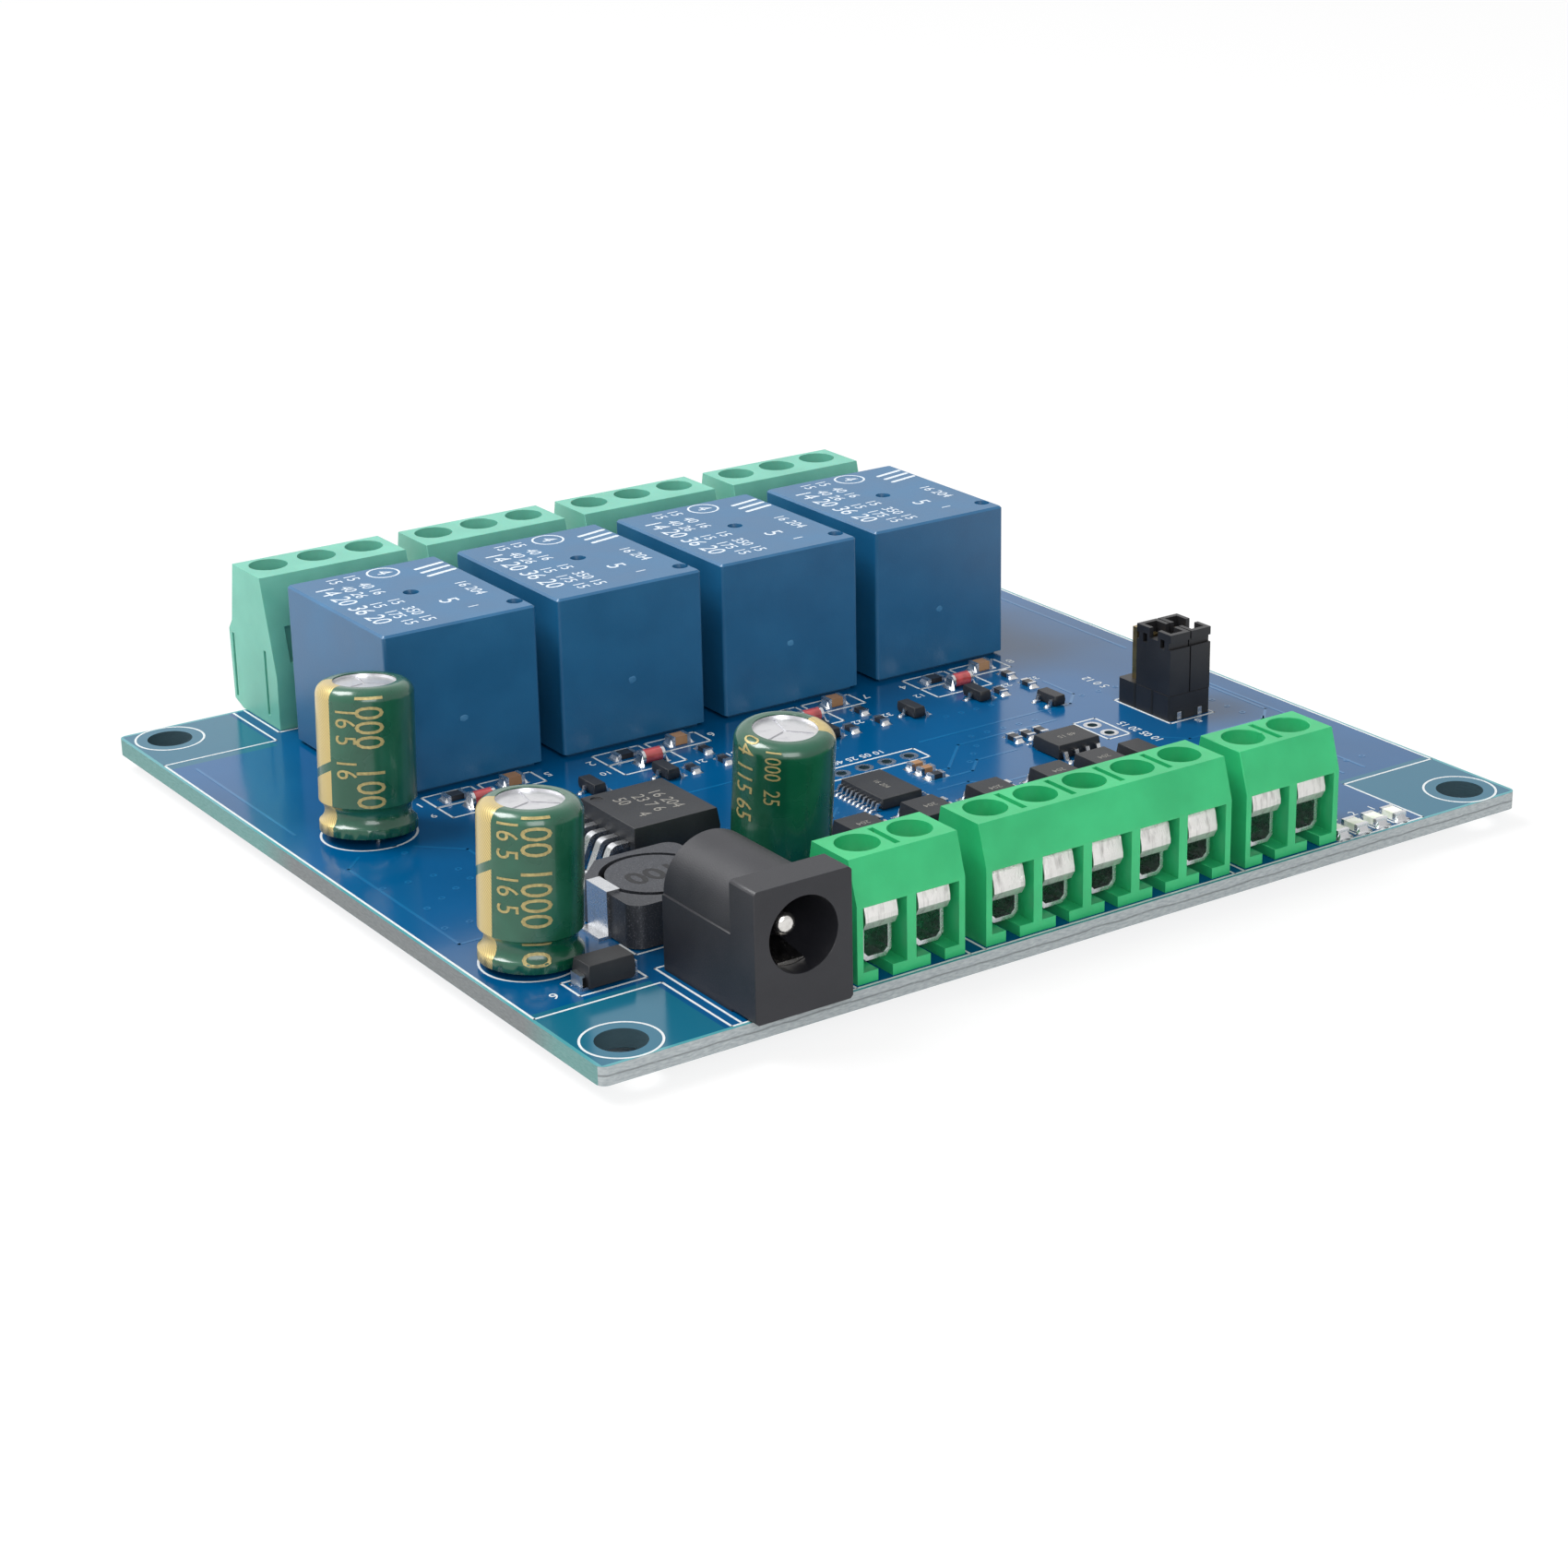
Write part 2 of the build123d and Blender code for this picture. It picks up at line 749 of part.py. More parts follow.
def can_outline(radius, top, edge):
    """Half section of a can of a given radius, with its crimp and rounded top edge."""
    crimp, depth = capacitor_crimp_height, capacitor_crimp_depth
    lower = Polyline(
        (0, capacitor_seat),
        (radius, capacitor_seat),
        (radius, crimp - capacitor_crimp_half),
    )
    waist = ThreePointArc(
        (radius, crimp - capacitor_crimp_half),
        (radius - depth, crimp),
        (radius, crimp + capacitor_crimp_half),
    )
    side = Line((radius, crimp + capacitor_crimp_half), (radius, top - edge))
    corner = RadiusArc((radius, top - edge), (radius - edge, top), -edge)
    upper = Polyline((radius - edge, top), (0, top), (0, capacitor_seat))
    return make_face(lower + waist + side + corner + upper)


def bung_outline():
    """Half section of the rubber bung, which fills the mouth of the can."""
    radius = capacitor_diameter / 2 - capacitor_bung_wall - capacitor_crimp_depth
    low = Align.MIN
    return Pos(0, capacitor_seat) * Rectangle(radius, capacitor_bung_height, align=(low, low))


def turned(section):
    """A half section in X and Z, revolved about the Z axis."""
    return revolve(Plane.XZ * section, Axis.Z)


def capacitor_can():
    """Aluminium can with a sunk top and a three-armed vent score in it."""
    radius = capacitor_diameter / 2
    can = turned(can_outline(radius, capacitor_top, capacitor_edge_radius) - bung_outline())
    floor = capacitor_top - capacitor_top_recess
    can -= rod(2 * (radius - capacitor_sleeve_lip), floor, capacitor_top + 1)
    half = capacitor_vent_width / 2
    reach = capacitor_vent_reach * radius
    arm = block((0, reach), (-half, half), (floor - capacitor_vent_depth, floor + 1))
    return can - [Rot(0, 0, turn) * arm for turn in (80, 200, 320)]


def capacitor_sleeve_shape():
    """Printed sleeve shrunk round the can, with a lip over its top edge."""
    radius = capacitor_diameter / 2
    low = Align.MIN
    can = can_outline(radius, capacitor_top, capacitor_edge_radius)
    outside = can_outline(
        radius + capacitor_sleeve,
        capacitor_top + capacitor_sleeve,
        capacitor_edge_radius + capacitor_sleeve,
    )
    mouth = Pos(0, capacitor_top - 1) * Rectangle(radius - capacitor_sleeve_lip, 3, align=(low, low))
    return turned(outside - can - mouth)


def capacitor_lift(lean):
    """How far a leaning capacitor is raised, so that the low side of its sleeve clears the board."""
    return (capacitor_diameter / 2 + capacitor_sleeve) * math.sin(math.radians(lean))


def leaning(place, lean, side, shape):
    """A part of a capacitor at its place, tipped from upright towards a side."""
    tip = Rot(0, 0, side) * Rot(0, lean, 0) * Rot(0, 0, -side)
    return at(place, Pos(0, 0, capacitor_lift(lean)) * tip * shape)


def build_capacitors():
    """Can, sleeve and bung of each capacitor, and all their leads, which stay upright."""
    nodes = {}
    leads = []
    holes = []
    bungs = []
    for number, (place, (lean, side)) in enumerate(zip(capacitor_places, capacitor_leans), 1):
        nodes[f"capacitor_{number}_can"] = leaning(place, lean, side, capacitor_can())
        nodes[f"capacitor_{number}_sleeve"] = leaning(place, lean, side, capacitor_sleeve_shape())
        lead_top = capacitor_seat + capacitor_lift(lean) + capacitor_bung_height / 2
        lead = rod(capacitor_lead_diameter, lead_bottom, lead_top)
        pair = [at(place, Pos(0, end * capacitor_lead_pitch / 2, 0) * lead) for end in (-1, 1)]
        bungs.append(leaning(place, lean, side, turned(bung_outline())) - pair)
        leads += pair
        for end in (-1, 1):
            offset = end * capacitor_lead_pitch / 2
            holes.append((place[0], place[1] + offset, capacitor_lead_diameter + 2 * lead_hole_gap))
    nodes["capacitor_bungs"] = group(bungs)
    nodes["capacitor_leads"] = group(leads)
    return nodes, holes


def tapered_body(length, width, bottom, parting, top):
    """Moulded body, widest at its parting line. Length is along Y and width along X."""
    section = Rectangle(width, length)
    upper = Pos(0, 0, parting) * extrude(section, amount=top - parting, taper=package_taper)
    lower = Pos(0, 0, parting) * extrude(section, amount=bottom - parting, taper=package_taper)
    return upper + lower


# Voltage regulator, with its leads towards -X and its tab towards +X
def regulator_body():
    """Moulded body with a round dimple in its top, standing on the tab."""
    length, width = regulator_length, regulator_width
    body = tapered_body(width, length, regulator_seat, regulator_lead_height, regulator_height)
    dimple = rod(regulator_dimple_diameter, regulator_height - regulator_dimple_depth, regulator_height + 1)
    dimple_place = Pos(regulator_dimple_inset - length / 2, width / 2 - regulator_dimple_inset, 0)
    half_width = width / 2 - regulator_tab_inset
    tab_pocket = block(
        (regulator_tab_start, length),
        (-half_width, half_width),
        (-1, regulator_tab_thickness),
    )
    return body - [dimple_place * dimple, tab_pocket]


def regulator_lead_frame():
    """Metal tab that reaches out on the right, and leads bent down to the board on the left."""
    half_width = regulator_width / 2 - regulator_tab_inset
    reach = regulator_length / 2 + regulator_tab_reach
    tab = block((regulator_tab_start, reach), (-half_width, half_width), (0, regulator_tab_thickness))
    tab = chamfer(tab.edges().filter_by(Axis.Z).group_by(Axis.X)[-1], regulator_tab_corner)
    root = -regulator_length / 2
    thickness = regulator_lead_thickness
    path = FilletPolyline(
        (root, regulator_lead_height),
        (root - regulator_lead_shoulder, regulator_lead_height),
        (root - regulator_lead_knee, thickness / 2),
        (root - regulator_lead_reach, thickness / 2),
        radius=regulator_lead_bend_radius,
    )
    half = regulator_lead_width / 2
    lead = along_y(trace(path, thickness), -half, half)
    places = lead_row(regulator_lead_count, regulator_lead_pitch)
    return group([tab] + [Pos(0, y, 0) * lead for y in places])


# Shielded inductor, built about its own middle
def inductor_shield():
    """Shield with three rounded corners, one cut corner and a round well for the drum."""
    section = Rectangle(inductor_length, inductor_width)
    left_corners = section.vertices().group_by(Axis.X)[0].sort_by(Axis.Y)
    right_corners = section.vertices().group_by(Axis.X)[-1]
    section = fillet([left_corners[0], *right_corners], inductor_corner_radius)
    marked_corner = section.vertices().sort_by(lambda corner: corner.Y - corner.X)[-1]
    section = chamfer(marked_corner, inductor_marked_corner)
    shield = Pos(0, 0, inductor_seat) * extrude(section, amount=inductor_height - inductor_seat)
    well = rod(inductor_drum_diameter + 2 * inductor_drum_gap, inductor_floor, inductor_height + 1)
    return shield - well


def inductor_drum():
    """Drum core: two flanges on a round post."""
    flange = inductor_drum_flange
    top = inductor_height + inductor_drum_rise
    return (
        rod(inductor_drum_diameter, inductor_floor, inductor_floor + flange)
        + rod(inductor_core_diameter, inductor_floor + flange, top - flange)
        + rod(inductor_drum_diameter, top - flange, top)
    )


def inductor_winding():
    """Copper winding between the flanges of the drum."""
    flange = inductor_drum_flange
    top = inductor_height + inductor_drum_rise
    diameter = inductor_drum_diameter - 2 * inductor_winding_inset
    ring = rod(diameter, inductor_floor + flange, top - flange)
    return ring - rod(inductor_core_diameter, 0, inductor_height + 1)


def inductor_clips():
    """Metal clips that hook over two sides of the shield and end in feet."""
    side = inductor_length / 2
    thickness = inductor_clip_thickness
    section = outline(
        (side + inductor_clip_foot + thickness, 0),
        (side + inductor_clip_foot + thickness, thickness),
        (side + thickness, thickness),
        (side + thickness, inductor_height + thickness),
        (side - inductor_clip_hook, inductor_height + thickness),
        (side - inductor_clip_hook, inductor_height),
        (side, inductor_height),
        (side, 0),
    )
    half = inductor_clip_width / 2
    clip = along_y(section, -half, half)
    return group([clip, Rot(0, 0, 180) * clip])


# Moulded packages, built with their leads towards -X and +X
def package_body(package):
    """Moulded body of a leaded package."""
    top = package_seat + package.height
    parting = package_seat + 0.5 * package.height
    return tapered_body(package.length, package.width, package_seat, parting, top)


def package_leads(package):
    """Gull-wing leads of a package, on both sides."""
    root, tip = package.width / 2, package.span / 2
    reach = tip - root
    parting = package_seat + 0.5 * package.height
    half = lead_thickness / 2
    section = outline(
        (root, parting + half),
        (root + 0.35 * reach, parting + half),
        (root + 0.6 * reach, lead_thickness),
        (tip, lead_thickness),
        (tip, 0),
        (root + 0.5 * reach, 0),
        (root + 0.2 * reach, parting - half),
        (root, parting - half),
    )
    lead = along_y(section, -package.lead_width / 2, package.lead_width / 2)
    right = [Pos(0, y, 0) * lead for y in package.right_leads]
    left = [Pos(0, y, 0) * Rot(0, 0, 180) * lead for y in package.left_leads]
    return right + left


def diode_body():
    """Moulded body of a two-lead diode, lying along X on its straps."""
    parting = lead_thickness + 0.5 * diode_height
    return tapered_body(diode_width, diode_length, lead_thickness, parting, lead_thickness + diode_height)


def diode_leads():
    """Flat straps that leave the ends of the body and fold down to the board."""
    end = diode_length / 2
    parting = lead_thickness + 0.5 * diode_height
    reach = end + diode_reach
    upper, lower = parting + diode_strap_half_thickness, parting - diode_strap_half_thickness
    section = outline(
        (end, upper),
        (reach, upper),
        (reach, 0),
        (end - diode_strap_fold, 0),
        (end - diode_strap_fold, lead_thickness),
        (reach - lead_thickness, lead_thickness),
        (reach - lead_thickness, lower),
        (end, lower),
    )
    half = diode_strap_width / 2
    strap = along_y(section, -half, half)
    return [strap, Rot(0, 0, 180) * strap]


def before_relay(channel, across, ahead):
    """Place beside the middle line of a channel, some way in front of its relay."""
    return (channel_x(channel) + across, relay_row_y - ahead)


def transistor_places():
    """Place and turn of each small transistor."""
    for channel in range(channel_count):
        yield before_relay(channel, -2.5, 9.3), 0
    yield before_relay(0, 7.9, 8.6), 0
    yield before_relay(2, 7.4, 9.3), 0
    yield before_relay(channel_count - 1, 2.4, 14.7), 180


def build_power_parts():
    """Regulator, inductor and the two moulded diodes."""
    diodes = ((power_diode_place, 0), (surge_diode_place, 90))
    return {
        "regulator_body": at(regulator_place, regulator_body()),
        "regulator_lead_frame": at(regulator_place, regulator_lead_frame()),
        "inductor_shield": at(inductor_place, inductor_shield()),
        "inductor_drum": at(inductor_place, inductor_drum()),
        "inductor_winding": at(inductor_place, inductor_winding()),
        "inductor_clips": at(inductor_place, inductor_clips()),
        "diode_bodies": group([at(place, diode_body(), turn) for place, turn in diodes]),
        "diode_leads": group([at(place, strap, turn) for place, turn in diodes for strap in diode_leads()]),
    }


def build_packages():
    """Processor, transceiver, optocouplers and transistors, with their leads."""
    rows = (
        ("processor", processor, [(processor_place, 0)]),
        ("transceiver", transceiver, [(transceiver_place, 90)]),
        ("optocoupler", optocoupler, [(place, 90) for place in optocoupler_places]),
        ("transistor", transistor, list(transistor_places())),
    )
    nodes = {}
    for name, package, places in rows:
        body, leads = package_body(package), package_leads(package)
        body_name = f"{name}_body" if len(places) == 1 else f"{name}_bodies"
        nodes[body_name] = group([at(place, body, turn) for place, turn in places])
        nodes[f"{name}_leads"] = group([at(place, lead, turn) for place, turn in places for lead in leads])
    return nodes


# Chip parts, each a body between two metal ends
def chip_body(chip):
    """Ceramic body between the ends of a chip part."""
    half, side = chip.length / 2 - chip_end_length, chip.width / 2
    return block((-half, half), (-side, side), (chip_end_wrap, chip.height))


def chip_ends(chip):
    """The two metal ends of a chip part, a little larger than the body."""
    outer, inner = chip.length / 2, chip.length / 2 - chip_end_length
    side = chip.width / 2 + chip_end_wrap
    end = block((inner, outer), (-side, side), (0, chip.height + chip_end_wrap))
    return [end, Rot(0, 0, 180) * end]


def resistor_places():
    """Chip, place and turn of each chip resistor."""
    for channel in range(channel_count):
        yield large_chip, before_relay(channel, -3.0, 2.75), 0
        yield small_chip, before_relay(channel, 3.8, 5.95), 90
        yield small_chip, before_relay(channel, 3.8, 9.35), 90
        yield small_chip, before_relay(channel, 0.2, 9.5), 90
    for x, y in optocoupler_places[: channel_count - 1]:
        yield small_chip, (x + 3.8, y + 3.9), 0
    for offset in (-2.25, -0.7, 0.85):
        yield small_chip, (transceiver_place[0] + offset, transceiver_place[1] + 5.0), 90
    yield small_chip, (processor_place[0] + 6.6, processor_place[1] + 0.75), 0


def chip_capacitor_places():
    """Chip, place and turn of each ceramic capacitor."""
    for channel in range(channel_count):
        yield large_capacitor_chip, before_relay(channel, 3.0, 2.6), 0
    for offset in (2.25, 3.75):
        yield small_capacitor_chip, (processor_place[0] + 6.6, processor_place[1] + offset), 0


def led_places():
    """Place of each indicator light, one for each channel."""
    return [(first_led_x + channel * led_pitch, led_setback) for channel in range(channel_count)]


def glass_diode_places():
    """Place of the glass diode across each relay's coil."""
    return [before_relay(channel, -1.7, 5.45) for channel in range(channel_count)]


def glass_diode_body():
    """Glass tube lying on its side between two metal end caps."""
    length = glass_diode_length - 2 * glass_diode_cap
    radius = glass_diode_diameter / 2
    return Pos(0, 0, radius + chip_end_wrap) * Rot(0, 90, 0) * Cylinder(radius, length)


def glass_diode_ends():
    """Round metal end caps of a glass diode."""
    radius = glass_diode_diameter / 2 + chip_end_wrap
    cap = Pos(0, 0, radius) * Rot(0, 90, 0) * Cylinder(radius, glass_diode_cap)
    offset = (glass_diode_length - glass_diode_cap) / 2
    return [Pos(side * offset, 0, 0) * cap for side in (-1, 1)]


def build_chips():
    """Resistors, ceramic capacitors, indicator lights and glass diodes, and all their metal ends."""
    rows = {
        "chip_resistors": list(resistor_places()),
        "chip_capacitors": list(chip_capacitor_places()),
        "indicator_lights": [(led_chip, place, 90) for place in led_places()],
    }
    nodes = {}
    ends = []
    for name, chips in rows.items():
        nodes[name] = group([at(place, chip_body(chip), turn) for chip, place, turn in chips])
        ends += [at(place, end, turn) for chip, place, turn in chips for end in chip_ends(chip)]
    places = glass_diode_places()
    nodes["glass_diodes"] = group([at(place, glass_diode_body()) for place in places])
    ends += [at(place, end) for place in places for end in glass_diode_ends()]
    nodes["chip_end_caps"] = group(ends)
    return nodes


# Pin header, built about its own middle, with its rows along Y
def header_pin_places():
    """Places of the pins, row by row from the front."""
    columns = lead_row(header_columns, header_pitch)
    return [(x, y) for y in lead_row(header_rows, header_pitch) for x in columns]


def header_base():
    """Plastic base with notched cells, one for each row of pins."""
    cell = Rectangle(header_columns * header_pitch, header_pitch)
    cell = chamfer(cell.vertices(), header_notch)
    cells = Sketch() + [Pos(0, y) * cell for y in lead_row(header_rows, header_pitch)]
    pin = Rectangle(header_pin_width, header_pin_width)
    pins = [Pos(x, y) * pin for x, y in header_pin_places()]
    return extrude(cells - pins, amount=header_base_height)


def header_pin():
    """Square pin through the base and the board."""
    half = header_pin_width / 2
    return block((-half, half), (-half, half), (lead_bottom, header_pin_height))


def jumper_middle():
    """Middle of a jumper cap along Y, which covers the two front rows of pins."""
    rows = lead_row(header_rows, header_pitch)
    return (rows[0] + rows[1]) / 2


def jumper_cap():
    """Open-topped cap with a sight window beside each pin and a notch across its top."""
    bottom, top = header_base_height, header_base_height + jumper_height
    half_width, half_length = jumper_width / 2, jumper_length / 2
    cap = block((-half_width, half_width), (-half_length, half_length), (bottom, top))
    half_notch = jumper_notch_width / 2
    notch = block((-5, 5), (-half_notch, half_notch), (top - jumper_notch_depth, top + 1))
    waist_bottom = top - jumper_waist_drop
    waist = block(
        (-5, 5),
        (half_length - jumper_waist_depth, half_length + 1),
        (waist_bottom, waist_bottom + jumper_waist_height),
    )
    inside = half_width - jumper_wall
    cuts = [notch, waist, Rot(0, 0, 180) * waist]
    half_channel, half_window = jumper_channel_length / 2, jumper_window_width / 2
    window_bottom = top - jumper_window_drop
    for side in (-1, 1):
        pin_y = side * header_pitch / 2
        channel_y = (pin_y - half_channel, pin_y + half_channel)
        window_y = (pin_y - half_window, pin_y + half_window)
        cuts.append(block((-inside, inside), channel_y, (bottom - 1, top + 1)))
        cuts.append(block((-5, 0), window_y, (window_bottom, window_bottom + jumper_window_height)))
    link_bottom = bottom + jumper_link_bottom
    link_y = (-header_pitch / 2, header_pitch / 2)
    cuts.append(block((-inside, inside), link_y, (link_bottom, link_bottom + jumper_link_height)))
    return cap - cuts


def jumper_clip():
    """Folded metal clip that joins the two pins inside a jumper cap."""
    link_bottom = header_base_height + jumper_link_bottom + jumper_clip_fit
    link_top = link_bottom + jumper_link_height - 2 * jumper_clip_fit
    pin_half = header_pin_width / 2
    faces = (pin_half, pin_half + jumper_clip_thickness)
    half_leg = jumper_clip_width / 2
    half_bridge = header_pitch / 2 + half_leg
    bridge = block(faces, (-half_bridge, half_bridge), (link_bottom, link_top))
    leg = block(faces, (-half_leg, half_leg), (header_base_height + jumper_clip_foot, link_top))
    return bridge + [Pos(0, side * header_pitch / 2, 0) * leg for side in (-1, 1)]


def build_header():
    """Header base, its pins, and a jumper cap with its clip on each column."""
    pins = [at(header_place, Pos(x, y, 0) * header_pin()) for x, y in header_pin_places()]
    nodes = {"header_base": at(header_place, header_base()), "header_pins": group(pins)}
    clips = []
    for number, x in enumerate(lead_row(header_columns, header_pitch), 1):
        move = Pos(x, jumper_middle(), 0)
        nodes[f"jumper_cap_{number}"] = at(header_place, move * jumper_cap())
        clips.append(at(header_place, move * jumper_clip()))
    nodes["jumper_clips"] = group(clips)
    size = corner_distance(header_pin_width, header_pin_width) + 2 * lead_hole_gap
    return nodes, [(header_place[0] + x, header_place[1] + y, size) for x, y in header_pin_places()]


def mounting_holes():
    """Places of the four mounting holes."""
    left, right = mounting_hole_inset_x, board_length - mounting_hole_inset_x
    front, back = mounting_hole_inset_y, board_width - mounting_hole_inset_y
    return [(x, y) for x in (left, right) for y in (front, back)]


def circuit_board(lead_holes):
    """Board with rounded corners, its mounting holes and a plated hole for each lead."""
    middle = Pos(board_length / 2, board_width / 2)
    section = middle * RectangleRounded(board_length, board_width, board_corner_radius)
    holes = [(x, y, mounting_hole_diameter) for x, y in mounting_holes()]
    holes += lead_holes
    holes += [(x, y, programming_hole_diameter) for x, y in programming_hole_places + bus_link_hole_places]
    section -= [Pos(x, y) * Circle(size / 2) for x, y, size in holes]
    return extrude(section, amount=-board_thickness)


def build():
    """Every node of the part, by name, with z = 0 on the top of the board."""
    nodes = {}
    holes = []
    for builder in (build_relays, build_terminals, build_jack, build_capacitors, build_header):
        built, needed = builder()
        nodes.update(built)
        holes += needed
    nodes.update(build_power_parts())
    nodes.update(build_packages())
    nodes.update(build_chips())
    nodes["circuit_board"] = circuit_board(holes)
    return nodes


os.makedirs("parts", exist_ok=True)
to_origin = Pos(-board_length / 2, -board_width / 2, board_thickness)
for node_name, node_shape in build().items():
    export_step(to_origin * node_shape, f"parts/{node_name}.step")
print("board", round(board_length, 2), "by", round(board_width, 2), "mm")
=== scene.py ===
"""Looks of a four-channel relay board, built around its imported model.

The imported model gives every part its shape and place. This script softens the edges of those parts,
adds the print, solder, traces and markings that the board carries, and gives each surface its finish.
"""

from __future__ import annotations

import logging
import math
from collections.abc import Callable, Iterator
from contextlib import contextmanager
from dataclasses import dataclass, field
from enum import Enum

import bpy
from mathutils import Matrix, Vector


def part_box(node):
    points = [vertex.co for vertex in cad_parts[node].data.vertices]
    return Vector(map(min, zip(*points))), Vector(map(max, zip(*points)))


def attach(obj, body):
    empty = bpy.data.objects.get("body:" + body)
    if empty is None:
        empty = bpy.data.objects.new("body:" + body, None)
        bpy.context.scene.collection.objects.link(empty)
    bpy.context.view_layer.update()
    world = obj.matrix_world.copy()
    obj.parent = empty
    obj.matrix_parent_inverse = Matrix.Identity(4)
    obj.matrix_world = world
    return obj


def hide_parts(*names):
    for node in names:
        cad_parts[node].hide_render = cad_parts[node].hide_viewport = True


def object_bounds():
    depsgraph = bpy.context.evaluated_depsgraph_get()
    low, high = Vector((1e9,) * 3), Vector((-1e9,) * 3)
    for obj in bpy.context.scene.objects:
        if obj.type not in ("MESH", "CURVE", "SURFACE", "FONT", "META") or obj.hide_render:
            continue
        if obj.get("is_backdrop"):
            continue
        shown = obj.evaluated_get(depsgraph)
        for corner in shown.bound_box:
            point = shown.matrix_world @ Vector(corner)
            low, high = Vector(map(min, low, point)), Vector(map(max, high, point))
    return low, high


LOG = logging.getLogger("relay_board")
MM = 0.001
PER_METRE = 1000.0
WIDEST_PIN = 1.6
WIDEST_TAB = 2.6
BODY = "root"

Triple = tuple[float, float, float]
Colour = Triple
Box = tuple[Vector, Vector]

WHITE: Colour = (1.0, 1.0, 1.0)


def operator(operation: str, turned: bool = False) -> Callable[["Value", object], "Value"]:
    """Make a method that adds one Math node for one of Python's operators.

    Args:
        operation: the node's operation, such as ADD.
        turned: whether the other value comes first.

    Returns:
        The method.
    """

    def method(value: "Value", other: object) -> "Value":
        """Add the node."""
        if turned:
            return Value(value.shader, other).maths(operation, value)
        return value.maths(operation, other)

    return method


class Value:
    """A shader socket or a number, on which Python's operators add Math nodes."""

    def __init__(self, shader: "Nodes", source: object) -> None:
        """Keep the tree and the socket or number.

        Args:
            shader: the tree that the nodes are added to.
            source: an output socket, or a plain number.
        """
        self.shader = shader
        self.source = source

    def maths(self, operation: str, *others: object) -> "Value":
        """Add one Math node.

        Args:
            operation: the node's operation, such as ADD.
            others: the values after the first.

        Returns:
            The node's result.
        """
        sockets = dict(enumerate([self, *others]))
        return self.shader.value("ShaderNodeMath", {"operation": operation}, sockets)

    __add__ = __radd__ = operator("ADD")
    __sub__ = operator("SUBTRACT")
    __rsub__ = operator("SUBTRACT", turned=True)
    __mul__ = __rmul__ = operator("MULTIPLY")
    __truediv__ = operator("DIVIDE")
    __gt__ = operator("GREATER_THAN")
    __lt__ = operator("LESS_THAN")

    def __abs__(self) -> "Value":
        """Size without sign."""
        return self.maths("ABSOLUTE")

    def ramp(self, low: float, high: float) -> "Value":
        """Go from zero to one between two values.

        Args:
            low: the value that gives zero.
            high: the value that gives one.

        Returns:
            The clamped result.
        """
        sockets = {"Value": self, "From Min": low, "From Max": high}
        return self.shader.value("ShaderNodeMapRange", {"clamp": True}, sockets)


class Nodes:
    """A node tree that is built up from values."""

    def __init__(self, owner: bpy.types.Material | bpy.types.World) -> None:
        """Start an empty tree.

        Args:
            owner: the material or world that the tree belongs to.
        """
        owner.use_nodes = True
        self.tree = owner.node_tree
        self.tree.nodes.clear()

    def add(self, kind: str, settings: dict | None = None, sockets: dict | None = None) -> bpy.types.Node:
        """Add a node.

        Args:
            kind: the node's type.
            settings: its properties, set first.
            sockets: values or links of its input sockets, by name or number.

        Returns:
            The node.
        """
        node = self.tree.nodes.new(kind)
        for name, value in (settings or {}).items():
            setattr(node, name, value)
        for name, value in (sockets or {}).items():
            self.feed(node.inputs[name], value)
        return node

    def value(self, kind: str, settings: dict | None, sockets: dict | None, output: object = 0) -> Value:
        """Add a node and take one of its outputs.

        Args:
            kind: the node's type.
            settings: its properties.
            sockets: values or links of its inputs.
            output: the output's name or number.

        Returns:
            The output as a value.
        """
        return Value(self, self.add(kind, settings, sockets).outputs[output])

    def feed(self, socket: bpy.types.NodeSocket, value: object) -> None:
        """Set or link one input.

        Args:
            socket: the input.
            value: a Value, a number or a colour.
        """
        source = value.source if isinstance(value, Value) else value
        if isinstance(source, bpy.types.NodeSocket):
            self.tree.links.new(source, socket)
        elif isinstance(source, tuple) and len(source) == 3 and socket.type == "RGBA":
            socket.default_value = (*source, 1.0)
        else:
            socket.default_value = source

    def mix(self, mask: object, first: object, second: object) -> Value:
        """Mix two colours.

        Args:
            mask: zero for the first and one for the second.
            first: a colour.
            second: a colour.

        Returns:
            The mixed colour.
        """
        return self.value("ShaderNodeMix", {"data_type": "RGBA"}, {0: mask, 6: first, 7: second}, 2)


